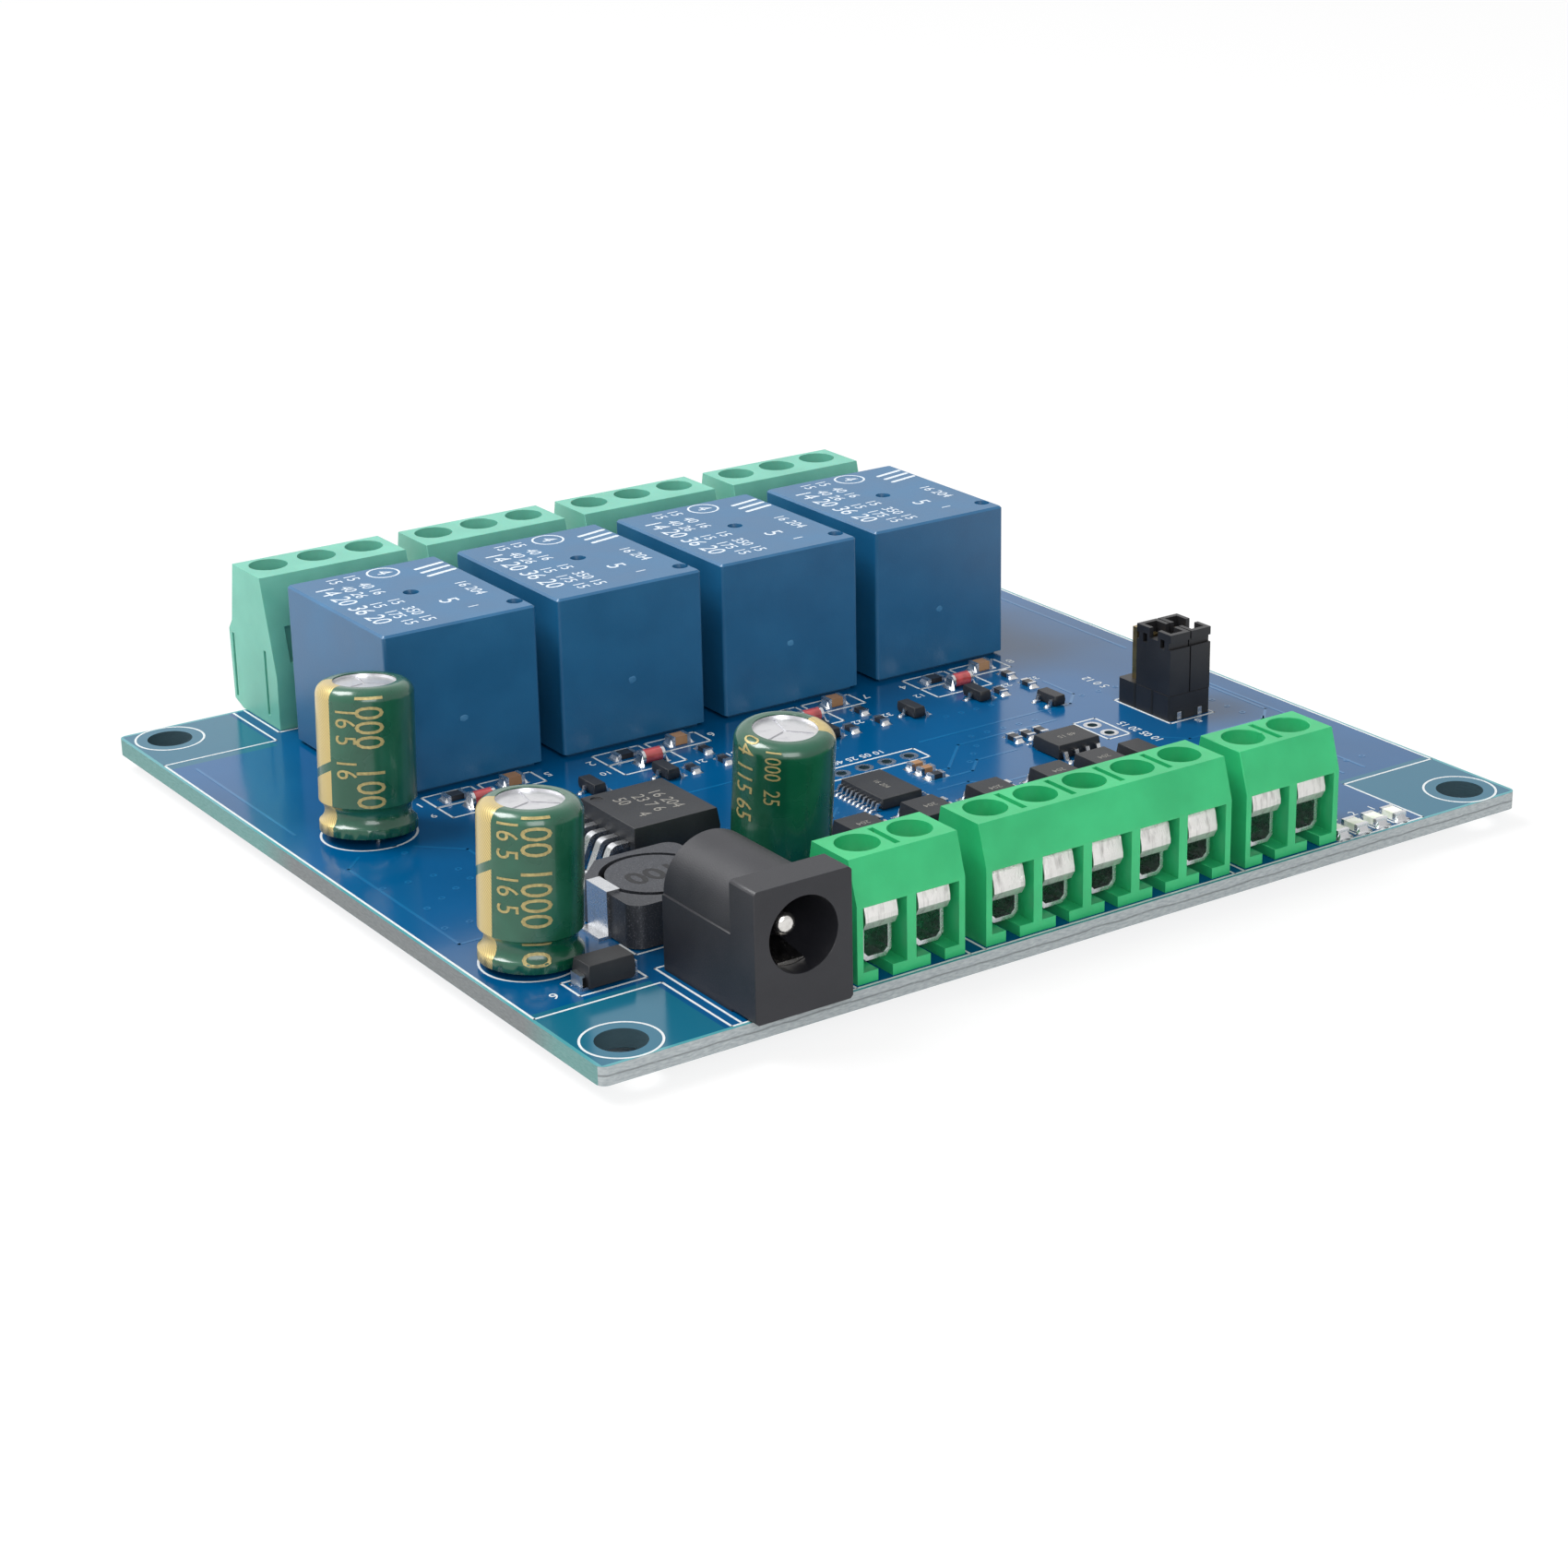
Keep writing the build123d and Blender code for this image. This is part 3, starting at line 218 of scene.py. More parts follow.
class Shader(Nodes):
    """One material's node tree, with a Principled surface at its end."""

    def __init__(self, name: str) -> None:
        """Start a material.

        Args:
            name: the material's name.
        """
        self.material = bpy.data.materials.new(name)
        super().__init__(self.material)
        self.surface = self.add("ShaderNodeBsdfPrincipled")
        output = self.add("ShaderNodeOutputMaterial")
        self.tree.links.new(self.surface.outputs["BSDF"], output.inputs["Surface"])

    def dress(self, **sockets: object) -> bpy.types.Material:
        """Set the Principled surface's inputs.

        Args:
            sockets: values by socket name, with underscores for spaces.

        Returns:
            The finished material.
        """
        names = {name.lower().replace(" ", "_"): name for name in self.surface.inputs.keys()}
        for name, value in sockets.items():
            self.feed(self.surface.inputs[names[name]], value)
        return self.material

    def coordinates(self) -> Value:
        """Return the place on the object in metres, as one vector."""
        return self.value("ShaderNodeTexCoord", None, None, "Object")

    def place(self) -> tuple[Value, Value, Value]:
        """Return the place on the object in millimetres, as three values."""
        parts = self.add("ShaderNodeSeparateXYZ", None, {0: self.coordinates()})
        return tuple(Value(self, parts.outputs[axis]) * PER_METRE for axis in ("X", "Y", "Z"))

    def noise(self, scale: float, detail: float, stretch: Triple = (1, 1, 1)) -> Value:
        """Add a noise from zero to one.

        Args:
            scale: how many lumps there are in a millimetre.
            detail: how many finer layers it has.
            stretch: how fast it runs along each axis.

        Returns:
            The noise.
        """
        sockets = {0: self.coordinates(), 1: tuple(PER_METRE * part for part in stretch)}
        vector = self.value("ShaderNodeVectorMath", {"operation": "MULTIPLY"}, sockets)
        sockets = {"Vector": vector, "Scale": scale, "Detail": detail}
        return self.value("ShaderNodeTexNoise", None, sockets, "Fac")

    def bump(self, height: Value, distance: float) -> Value:
        """Turn a height into a normal.

        Args:
            height: the height, from zero to one.
            distance: how high one stands, in millimetres.

        Returns:
            The normal.
        """
        sockets = {"Strength": 1.0, "Distance": distance * MM, "Height": height}
        return self.value("ShaderNodeBump", None, sockets)


@dataclass(frozen=True)
class MouldedPlastic:
    """Moulded plastic with a fine skin texture and slightly uneven gloss."""

    colour: Colour
    deep: Colour
    roughness: float = 0.42
    grain: float = 6.0
    grain_height: float = 0.006
    coat: float = 0.0
    subsurface: float = 0.0
    specular: float = 0.5

    def material(self, name: str) -> bpy.types.Material:
        """Make the material.

        Args:
            name: the material's name.

        Returns:
            The material.
        """
        shader = Shader(name)
        clouds = shader.noise(0.22, 3.0)
        skin = shader.noise(self.grain, 2.0)
        colour = shader.mix(clouds.ramp(0.35, 0.7), self.deep, self.colour)
        roughness = clouds * 0.1 + (self.roughness - 0.05)
        return shader.dress(
            base_color=colour,
            roughness=roughness + skin * 0.06,
            specular_ior_level=self.specular,
            coat_weight=self.coat,
            coat_roughness=0.12,
            subsurface_weight=self.subsurface,
            subsurface_scale=0.0008,
            normal=shader.bump(skin, self.grain_height),
        )


@dataclass(frozen=True)
class PlatedMetal:
    """Bright plated metal with rolling marks, and patches that are duller and darker."""

    colour: Colour
    tarnish: Colour
    roughness: float = 0.25
    streak: Triple = (1.0, 1.0, 1.0)
    marks: float = 0.02
    patch: Triple = (1.0, 1.0, 1.0)

    def material(self, name: str) -> bpy.types.Material:
        """Make the material.

        Args:
            name: the material's name.

        Returns:
            The material.
        """
        shader = Shader(name)
        streaks = shader.noise(5.0, 3.0, self.streak)
        patches = shader.noise(0.8, 4.0, self.patch)
        dull = patches.ramp(0.5, 0.75)
        return shader.dress(
            base_color=shader.mix(dull, self.colour, self.tarnish),
            metallic=1.0,
            roughness=streaks * 0.16 + dull * 0.12 + (self.roughness - 0.08),
            normal=shader.bump(streaks, self.marks),
        )


@dataclass(frozen=True)
class Ink:
    """Printed ink with slightly worn cover."""

    colour: Colour
    roughness: float = 0.55
    metallic: float = 0.0
    wear: float = 0.22

    def material(self, name: str) -> bpy.types.Material:
        """Make the material.

        Args:
            name: the material's name.

        Returns:
            The material.
        """
        shader = Shader(name)
        worn = shader.noise(4.0, 4.0).ramp(0.25, 0.8)
        faint = tuple((1.0 - self.wear) * part for part in self.colour)
        colour = shader.mix(worn, self.colour, faint)
        return shader.dress(
            base_color=colour,
            roughness=worn * 0.15 + self.roughness,
            metallic=self.metallic,
        )


@dataclass(frozen=True)
class SolderMask:
    """Laminate under a glossy blue mask: deeper over copper, teal where there is none, with painted shade
    on its left face and on the walls of its holes.
    """

    over_copper: Colour = (0.0, 0.06, 0.165)
    bare: Colour = (0.004, 0.1, 0.165)
    rim: Colour = (0.06, 0.26, 0.29)
    laminate: Colour = (0.36, 0.39, 0.4)
    fibre: Colour = (0.24, 0.27, 0.28)
    seam: Colour = (0.09, 0.1, 0.105)
    # Painted shade on the board's left face: grey in the middle, teal towards the front and back ends.
    left_middle: Colour = (0.08, 0.085, 0.085)
    left_ends: Colour = (0.03, 0.19, 0.17)
    # Painted shade inside the holes.
    hole_wall: Colour = (0.02, 0.05, 0.065)
    copper_clouds: float = 1.25
    rim_width: float = 0.32
    corner: float = 11.2
    cut_depth: float = 0.05
    front_end: tuple[float, float] = (33.0, 38.0)
    back_end: tuple[float, float] = (7.0, 13.0)
    seam_height: float = 0.48
    seam_half: tuple[float, float] = (0.02, 0.11)
    mask_thickness: float = 0.012

    def material(self, name: str, length: float, width: float, thickness: float) -> bpy.types.Material:
        """Make the material for a board of one size.

        Args:
            name: the material's name.
            length: the board's size along X in millimetres.
            width: the board's size along Y in millimetres.
            thickness: the board's thickness in millimetres.

        Returns:
            The material.
        """
        shader = Shader(name)
        x, y, z = shader.place()
        to_side = length / 2 - abs(x)
        to_end = width / 2 - abs(y)
        nearest = to_side.maths("MINIMUM", to_end)
        far_side = to_side.maths("MAXIMUM", to_end)
        in_corner = far_side < self.corner
        clouds = shader.noise(0.05, 2.0)
        lighter = tuple(self.copper_clouds * part for part in self.over_copper)
        copper = shader.mix(clouds.ramp(0.35, 0.65), self.over_copper, lighter)
        masked = shader.mix(in_corner, copper, self.bare)
        masked = shader.mix(nearest < self.rim_width, masked, self.rim)
        fibres = shader.noise(1.6, 5.0, (1.0, 1.0, 4.0))
        edge = shader.mix(fibres.ramp(0.3, 0.7), self.fibre, self.laminate)
        # Painted shade on the board's left face: darker grey in the middle, teal towards the front and
        # back ends.
        near_end = y.ramp(*self.back_end) + (0.0 - y).ramp(*self.front_end)
        left = shader.mix(near_end, self.left_middle, self.left_ends)
        edge = shader.mix((x + length / 2 < self.cut_depth) * 0.7, edge, left)
        wander = (shader.noise(0.35, 4.0) - 0.5) * 0.5
        middle = 1.0 - abs(z - thickness * self.seam_height - wander).ramp(*self.seam_half)
        seam = middle * fibres.ramp(0.25, 0.5) * (to_side > self.cut_depth) * 0.75
        edge = shader.mix(seam, edge, self.seam)
        # Painted shade on the walls of the holes.
        edge = shader.mix(nearest > self.rim_width, edge, self.hole_wall)
        on_face = abs(z - thickness / 2) > thickness / 2 - self.mask_thickness
        colour = shader.mix(on_face, edge, masked)
        orange_peel = shader.noise(0.35, 2.0)
        height = on_face * orange_peel * 0.2 + (1.0 - on_face) * fibres
        return shader.dress(
            base_color=colour,
            roughness=0.75 - on_face * (0.62 - 0.05 * clouds),
            coat_weight=on_face * 0.06,
            coat_roughness=0.06,
            specular_ior_level=0.37,
            normal=shader.bump(height, 0.05),
        )


@dataclass(frozen=True)
class ShrinkSleeve:
    """Glossy dark film with a hatched gold stripe down one side, broken once by a slanted gap."""

    film: Colour = (0.002, 0.062, 0.03)
    worn_film: Colour = (0.01, 0.09, 0.05)
    gold: Colour = (0.56, 0.43, 0.16)
    stripe_half_angle: float = 27.0
    gap_height: float = 0.8
    gap_slope: float = 2.2
    hatch_pitch: float = 0.3
    hatch_slope: float = 4.0
    hatch_share: float = 0.6

    def material(
        self, name: str, foot: Vector, lean: Vector, direction: float, gap: float
    ) -> bpy.types.Material:
        """Make the material for one capacitor.

        Args:
            name: the material's name.
            foot: where the capacitor's axis meets the board, in metres.
            lean: how far the axis moves sideways for each unit of height.
            direction: the angle of the stripe's middle about the axis, in degrees.
            gap: the height of the gap in the stripe above the board, in millimetres.

        Returns:
            The material.
        """
        shader = Shader(name)
        x, y, z = shader.place()
        height = z - foot.z / MM
        across = y - foot.y / MM - height * lean.y
        along = x - foot.x / MM - height * lean.x
        turn = (across.maths("ARCTAN2", along) - math.radians(direction)).maths("WRAP", math.pi, -math.pi)
        stripe = abs(turn) < math.radians(self.stripe_half_angle)
        in_gap = abs(height - gap - turn * self.gap_slope) < self.gap_height / 2
        hatch = ((height + turn * self.hatch_slope) / self.hatch_pitch).maths("FRACT") < self.hatch_share
        gold = shader.mix(hatch, tuple(0.62 * part for part in self.gold), self.gold)
        painted = stripe * (1.0 - in_gap)
        clouds = shader.noise(0.25, 3.0).ramp(0.4, 0.7)
        film = shader.mix(clouds, self.film, self.worn_film)
        ripple = shader.noise(0.5, 2.0, (1.0, 1.0, 0.4))
        return shader.dress(
            base_color=shader.mix(painted, film, gold),
            metallic=painted * 0.45,
            roughness=0.26 + painted * 0.12 + clouds * 0.05,
            coat_weight=0.5,
            coat_roughness=0.09,
            normal=shader.bump(ripple, 0.06),
        )


@dataclass(frozen=True)
class Ferrite:
    """Pressed powder with light specks and small pits."""

    colour: Colour = (0.024, 0.026, 0.032)
    speck: Colour = (0.13, 0.13, 0.145)

    def material(self, name: str) -> bpy.types.Material:
        """Make the material.

        Args:
            name: the material's name.

        Returns:
            The material.
        """
        shader = Shader(name)
        specks = shader.noise(9.0, 2.0)
        pits = shader.noise(3.0, 4.0)
        return shader.dress(
            base_color=shader.mix(specks.ramp(0.55, 0.75), self.colour, self.speck),
            roughness=pits * 0.2 + 0.32,
            normal=shader.bump(pits, 0.02),
        )


@dataclass(frozen=True)
class GlassTube:
    """Coloured glass, darker where it is thick."""

    colour: Colour = (0.62, 0.085, 0.09)

    def material(self, name: str) -> bpy.types.Material:
        """Make the material.

        Args:
            name: the material's name.

        Returns:
            The material.
        """
        shader = Shader(name)
        depth = shader.noise(1.2, 1.0)
        colour = shader.mix(depth.ramp(0.3, 0.7), self.colour, tuple(0.6 * part for part in self.colour))
        return shader.dress(
            base_color=colour,
            roughness=0.12,
            transmission_weight=0.25,
            coat_weight=0.8,
            coat_roughness=0.05,
        )


@dataclass(frozen=True)
class PaleResin:
    """Clear resin over a pale chip, greenish where it is thick."""

    colour: Colour = (0.72, 0.76, 0.62)
    clear: Colour = (0.86, 0.86, 0.8)

    def material(self, name: str) -> bpy.types.Material:
        """Make the material.

        Args:
            name: the material's name.

        Returns:
            The material.
        """
        shader = Shader(name)
        depth = shader.noise(1.6, 2.0)
        colour = shader.mix(depth.ramp(0.35, 0.65), self.colour, self.clear)
        return shader.dress(base_color=colour, roughness=0.2, coat_weight=0.5, coat_roughness=0.08)


class Workbench:
    """Modelling steps that the sub-assemblies share. Angles are in degrees."""

    end_rounding = 0.45
    sharp = 35.0
    ring_sides = 48

    def clear(self) -> None:
        """Deselect everything."""
        if bpy.context.object is not None and bpy.context.object.mode != "OBJECT":
            bpy.ops.object.mode_set(mode="OBJECT")
        bpy.ops.object.select_all(action="DESELECT")

    def activate(self, piece: bpy.types.Object) -> None:
        """Select one piece alone and make it the active one."""
        self.clear()
        piece.select_set(True)
        bpy.context.view_layer.objects.active = piece

    @contextmanager
    def editing(self) -> Iterator[None]:
        """Stay in edit mode for the length of a block."""
        bpy.ops.object.mode_set(mode="EDIT")
        yield
        bpy.ops.object.mode_set(mode="OBJECT")

    def cut(self, point: Triple, direction: Triple) -> None:
        """Cut all of the mesh that is being edited along a plane."""
        bpy.ops.mesh.select_all(action="SELECT")
        bpy.ops.mesh.bisect(plane_co=point, plane_no=direction)

    def finish(self, name: str) -> bpy.types.Object:
        """Name the active object and put its place into its mesh.

        Args:
            name: the object's name.

        Returns:
            The object.
        """
        piece = bpy.context.object
        piece.name = name
        piece.data.name = name
        bpy.ops.object.transform_apply(location=True, rotation=True, scale=True)
        return piece

    def box(self, name: str, low: Vector, high: Vector) -> bpy.types.Object:
        """Add a box between two corners.

        Args:
            name: the object's name.
            low: the lowest corner.
            high: the highest corner.

        Returns:
            The box.
        """
        self.clear()
        bpy.ops.mesh.primitive_cube_add(size=1.0, location=(low + high) / 2, scale=high - low)
        return self.finish(name)

    def strip(
        self, name: str, start: Vector, end: Vector, width: float, height: float
    ) -> bpy.types.Object:
        """Add a flat bar with round ends from one point to another, standing on them.

        Args:
            name: the object's name.
            start: the middle of its first end.
            end: the middle of its second end.
            width: its width.
            height: its height.

        Returns:
            The bar.
        """
        self.clear()
        run = end - start
        middle = (start + end) / 2 + Vector((0, 0, height / 2))
        turn = math.atan2(run.y, run.x)
        size = (run.length + width, width, height)
        bpy.ops.mesh.primitive_cube_add(size=1.0, location=middle, rotation=(0, 0, turn), scale=size)
        bar = self.finish(name)
        with self.editing():
            bpy.ops.mesh.select_mode(type="EDGE")
            bpy.ops.mesh.select_all(action="DESELECT")
        corners = bar.data.vertices
        for edge in bar.data.edges:
            rise = corners[edge.vertices[0]].co.z - corners[edge.vertices[1]].co.z
            edge.select = abs(rise) > height / 2
        with self.editing():
            bpy.ops.mesh.bevel(offset=width * self.end_rounding, segments=2)
        return bar

    def ring(
        self, name: str, centre: Vector, inner: float, outer: float, height: float
    ) -> bpy.types.Object:
        """Add a flat ring that stands on its centre point.

        Args:
            name: the object's name.
            centre: the middle of its underside.
            inner: its inner radius.
            outer: its outer radius.
            height: its height.

        Returns:
            The ring.
        """
        self.clear()
        bpy.ops.mesh.primitive_circle_add(vertices=self.ring_sides, radius=inner, location=(0, 0, 0))
        with self.editing():
            bpy.ops.mesh.select_all(action="SELECT")
            bpy.ops.mesh.extrude_edges_move()
            bpy.ops.transform.resize(value=(outer / inner, outer / inner, 1.0))
            bpy.ops.mesh.select_all(action="SELECT")
            bpy.ops.mesh.extrude_region_move(TRANSFORM_OT_translate={"value": (0, 0, height)})
            bpy.ops.mesh.select_all(action="SELECT")
            bpy.ops.mesh.normals_make_consistent(inside=False)
        bpy.context.object.location = centre
        return self.finish(name)

    def digits(
        self, name: str, text: str, size: float, height: float, bold: float = 0.0
    ) -> bpy.types.Object:
        """Add digits lying flat about the origin.

        Args:
            name: the object's name.
            text: the digits.
            size: their size.
            height: how thick they are.
            bold: how far their strokes are widened.

        Returns:
            The digits as a mesh.
        """
        self.clear()
        bpy.ops.object.text_add(location=(0, 0, 0))
        words = bpy.context.object
        words.data.body = text
        words.data.size = size
        words.data.extrude = height / 2
        words.data.offset = bold
        words.data.resolution_u = 3
        words.data.align_x = "CENTER"
        words.data.align_y = "CENTER"
        bpy.ops.object.convert(target="MESH")
        bpy.context.object.location = (0, 0, height / 2)
        return self.finish(name)

    def copy_at(self, piece: bpy.types.Object, place: Matrix) -> bpy.types.Object:
        """Copy a piece with its own mesh.

        Args:
            piece: the piece to copy.
            place: where the copy goes.

        Returns:
            The copy.
        """
        copy = piece.copy()
        copy.data = piece.data.copy()
        copy.data.transform(place)
        bpy.context.scene.collection.objects.link(copy)
        return copy

    def join(self, name: str, pieces: list[bpy.types.Object]) -> bpy.types.Object:
        """Join pieces into one.

        Args:
            name: the joined object's name.
            pieces: what to join.

        Returns:
            The joined object.
        """
        self.clear()
        for piece in pieces:
            piece.select_set(True)
        bpy.context.view_layer.objects.active = pieces[0]
        if len(pieces) > 1:
            bpy.ops.object.join()
        return self.finish(name)

    def remove(self, *pieces: bpy.types.Object) -> None:
        """Delete pieces that were only patterns for copies."""
        for piece in pieces:
            bpy.data.objects.remove(piece)

    def smooth(self, piece: bpy.types.Object, angle: float = sharp) -> None:
        """Shade a piece smoothly, apart from edges sharper than an angle."""
        self.activate(piece)
        bpy.ops.object.shade_smooth_by_angle(angle=math.radians(angle))

    def modify(self, piece: bpy.types.Object, kind: str, **settings: object) -> None:
        """Add a modifier to a piece and apply it.

        Args:
            piece: the piece.
            kind: the modifier's type.
            settings: the modifier's properties.
        """
        self.activate(piece)
        modifier = piece.modifiers.new("change", kind)
        for name, value in settings.items():
            setattr(modifier, name, value)
        bpy.ops.object.modifier_apply(modifier=modifier.name)

    def bevel(self, piece: bpy.types.Object, width: float, segments: int) -> None:
        """Round the sharp edges of a piece.

        Args:
            piece: the piece.
            width: the width of the rounding.
            segments: how many faces it has.
        """
        limit = {"limit_method": "ANGLE", "angle_limit": math.radians(self.sharp)}
        self.modify(piece, "BEVEL", width=width, segments=segments, harden_normals=True, **limit)

    def soften(self, node: str, width: float, segments: int = 2) -> bpy.types.Object:
        """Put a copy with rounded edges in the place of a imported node.

        Args:
            node: the node's name.
            width: the width of the rounding.
            segments: how many faces it has.

        Returns:
            The copy, which replaces the node.
        """
        source = bpy.data.objects[node]
        copy = source.copy()
        copy.data = source.data.copy()
        for key in list(copy.keys()):
            del copy[key]
        copy.parent = None
        copy.name = f"{node}_softened"
        bpy.context.scene.collection.objects.link(copy)
        self.activate(copy)
        with self.editing():
            bpy.ops.mesh.select_all(action="SELECT")
            bpy.ops.mesh.remove_doubles(threshold=1e-6)
            bpy.ops.mesh.dissolve_limited(angle_limit=math.radians(1.0))
        self.bevel(copy, width, segments)
        self.smooth(copy)
        self.modify(copy, "WEIGHTED_NORMAL", keep_sharp=True)
        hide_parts(node)
        return copy


BENCH = Workbench()


def put(piece: bpy.types.Object, material: bpy.types.Material) -> None:
    """Give a new piece its finish and let it ride on the board.

    Args:
        piece: the piece.
        material: its finish.
    """
    piece.data.materials.clear()
    piece.data.materials.append(material)
    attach(piece, BODY)
    LOG.info("piece %s: %d faces", piece.name, len(piece.data.polygons))


def put_joined(name: str, pieces: list[bpy.types.Object], finish: Finish) -> None:
    """Join new pieces into one, give it its finish and let it ride on the board."""
    put(BENCH.join(name, pieces), PAINT.get(finish))


def span(points: list[Vector]) -> Box:
    """Return the lowest and highest corner of the box round some points."""
    low = Vector(min(point[axis] for point in points) for axis in range(3))
    high = Vector(max(point[axis] for point in points) for axis in range(3))
    return low, high


def islands(node: str) -> list[Box]:
    """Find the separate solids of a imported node.

    Args:
        node: the node's name.

    Returns:
        The lowest and highest corner of each solid.
    """
    mesh = bpy.data.objects[node].data
    owner: dict[tuple[int, int, int], tuple[int, int, int]] = {}

    def root(key: tuple[int, int, int]) -> tuple[int, int, int]:
        """Return the key that stands for a solid."""
        while owner[key] != key:
            owner[key] = owner[owner[key]]
            key = owner[key]
        return key

    keys = [tuple(round(part * 1e6) for part in vertex.co) for vertex in mesh.vertices]
    for key in keys:
        owner.setdefault(key, key)
    for polygon in mesh.polygons:
        first = root(keys[polygon.vertices[0]])
        for index in polygon.vertices[1:]:
            owner[root(keys[index])] = first
    found: dict[tuple[int, int, int], list[Vector]] = {}
    for key, vertex in zip(keys, mesh.vertices):
        found.setdefault(root(key), []).append(vertex.co)
    corners = [span(points) for points in found.values()]
    return sorted(corners, key=lambda pair: (round(pair[0].x, 5), round(pair[0].y, 5)))


class Board:
    """The bare board's own frame: millimetres from its front-left corner, on its top face."""

    def __init__(self) -> None:
        """Read the board's box."""
        self.low, self.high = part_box("circuit_board")

    @property
    def length(self) -> float:
        """Length along X in millimetres."""
        return (self.high.x - self.low.x) / MM

    @property
    def width(self) -> float:
        """Width along Y in millimetres."""
        return (self.high.y - self.low.y) / MM

    @property
    def thickness(self) -> float:
        """Thickness in millimetres."""
        return (self.high.z - self.low.z) / MM

    def point(self, x: float, y: float, z: float = 0.0) -> Vector:
        """Return a point given in millimetres from the front-left corner of the top face."""
        return Vector((self.low.x + x * MM, self.low.y + y * MM, self.high.z + z * MM))


class Green(Enum):
    """The two greens of the screw terminals, each with a deeper tone that shows in random clouds."""

    FRONT = ((0.024, 0.41, 0.15), (0.016, 0.34, 0.12))
    OUTPUT = ((0.14, 0.44, 0.34), (0.11, 0.38, 0.29))


class Finish(Enum):
    """The finish of every material slot that is the same wherever it is used."""

    RELAY_CASE = MouldedPlastic((0.006, 0.1, 0.225), (0.004, 0.084, 0.195), 0.36, 8.0, 0.008, specular=0.8)
    JACK_PLASTIC = MouldedPlastic((0.0145, 0.015, 0.0195), (0.0095, 0.01, 0.014), 0.44, 9.0, 0.014)
    PACKAGE_PLASTIC = MouldedPlastic((0.018, 0.019, 0.0215), (0.011, 0.0115, 0.0135), 0.46, 12.0, 0.012)
    HEADER_PLASTIC = MouldedPlastic((0.015, 0.015, 0.017), (0.009, 0.009, 0.0105), 0.4, 8.0, 0.006)
    PLATED_STEEL = PlatedMetal(
        (0.9, 0.88, 0.86), (0.5, 0.48, 0.47), 0.34, (3.0, 3.0, 0.12), 0.05, (3.0, 3.0, 0.2)
    )
    TINNED_METAL = PlatedMetal((0.72, 0.73, 0.75), (0.48, 0.49, 0.51), 0.26, (1.0, 1.0, 1.0), 0.01)
    NICKEL_PLATE = PlatedMetal((0.82, 0.8, 0.77), (0.55, 0.53, 0.5), 0.18, (1.0, 0.3, 1.0), 0.01)
    GOLD_PLATE = PlatedMetal((0.42, 0.31, 0.13), (0.22, 0.16, 0.07), 0.3, (1.0, 1.0, 0.2), 0.008)
    CAN_ALUMINIUM = PlatedMetal((0.72, 0.72, 0.74), (0.55, 0.55, 0.58), 0.34, (1.0, 1.0, 0.4), 0.012)
    BUNG_RUBBER = MouldedPlastic((0.02, 0.02, 0.02), (0.012, 0.012, 0.012), 0.7, 6.0, 0.01)
    FERRITE = Ferrite()
    COPPER_WIRE = PlatedMetal((0.7, 0.28, 0.12), (0.45, 0.17, 0.07), 0.3, (1.0, 1.0, 8.0), 0.04)
    RED_GLASS = GlassTube()
    RESISTOR_CERAMIC = MouldedPlastic((0.012, 0.013, 0.016), (0.02, 0.021, 0.025), 0.3, 10.0, 0.005)
    CAPACITOR_CERAMIC = MouldedPlastic((0.36, 0.2, 0.1), (0.27, 0.14, 0.065), 0.38, 10.0, 0.006)
    LIGHT_RESIN = PaleResin()
    WHITE_INK = Ink((0.62, 0.65, 0.66))
    GREY_INK = Ink((0.22, 0.21, 0.19))
    GATE_SCAR = MouldedPlastic((0.05, 0.2, 0.36), (0.03, 0.15, 0.3), 0.6, 5.0, 0.03)
    RELAY_INK = Ink((0.62, 0.68, 0.74))
    DARK_INK = Ink((0.012, 0.012, 0.014), 0.6)
    GOLD_INK = Ink((0.46, 0.37, 0.15), 0.4, 0.3, 0.5)
    MASKED_TRACE = MouldedPlastic((0.0, 0.11, 0.27), (0.0, 0.09, 0.23), 0.2, 2.0, 0.004, 0.3)
    # Near-black painted shade, used for the blocks that stand in for the shade inside the header's
    # openings.
    DARK_HOLE = MouldedPlastic((0.004, 0.008, 0.012), (0.002, 0.004, 0.006), 0.6, 8.0, 0.004)


class Paintbox:
    """Makes each finish once and gives it to whatever asks."""

    def __init__(self) -> None:
        """Start with nothing made."""
        self.made: dict[str, bpy.types.Material] = {}

    def get(self, finish: Finish) -> bpy.types.Material:
        """Return a finish's material, made on first use.

        Args:
            finish: the finish.

        Returns:
            Its material.
        """
        name = finish.name.lower()
        if name not in self.made:
            self.made[name] = finish.value.material(name)
        return self.made[name]

    def dress_node(self, node: str, material: bpy.types.Material) -> None:
        """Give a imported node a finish.

        Args:
            node: the node's name.
            material: its finish.
        """
        for slot in bpy.data.objects[node].material_slots:
            slot.material = material


PAINT = Paintbox()


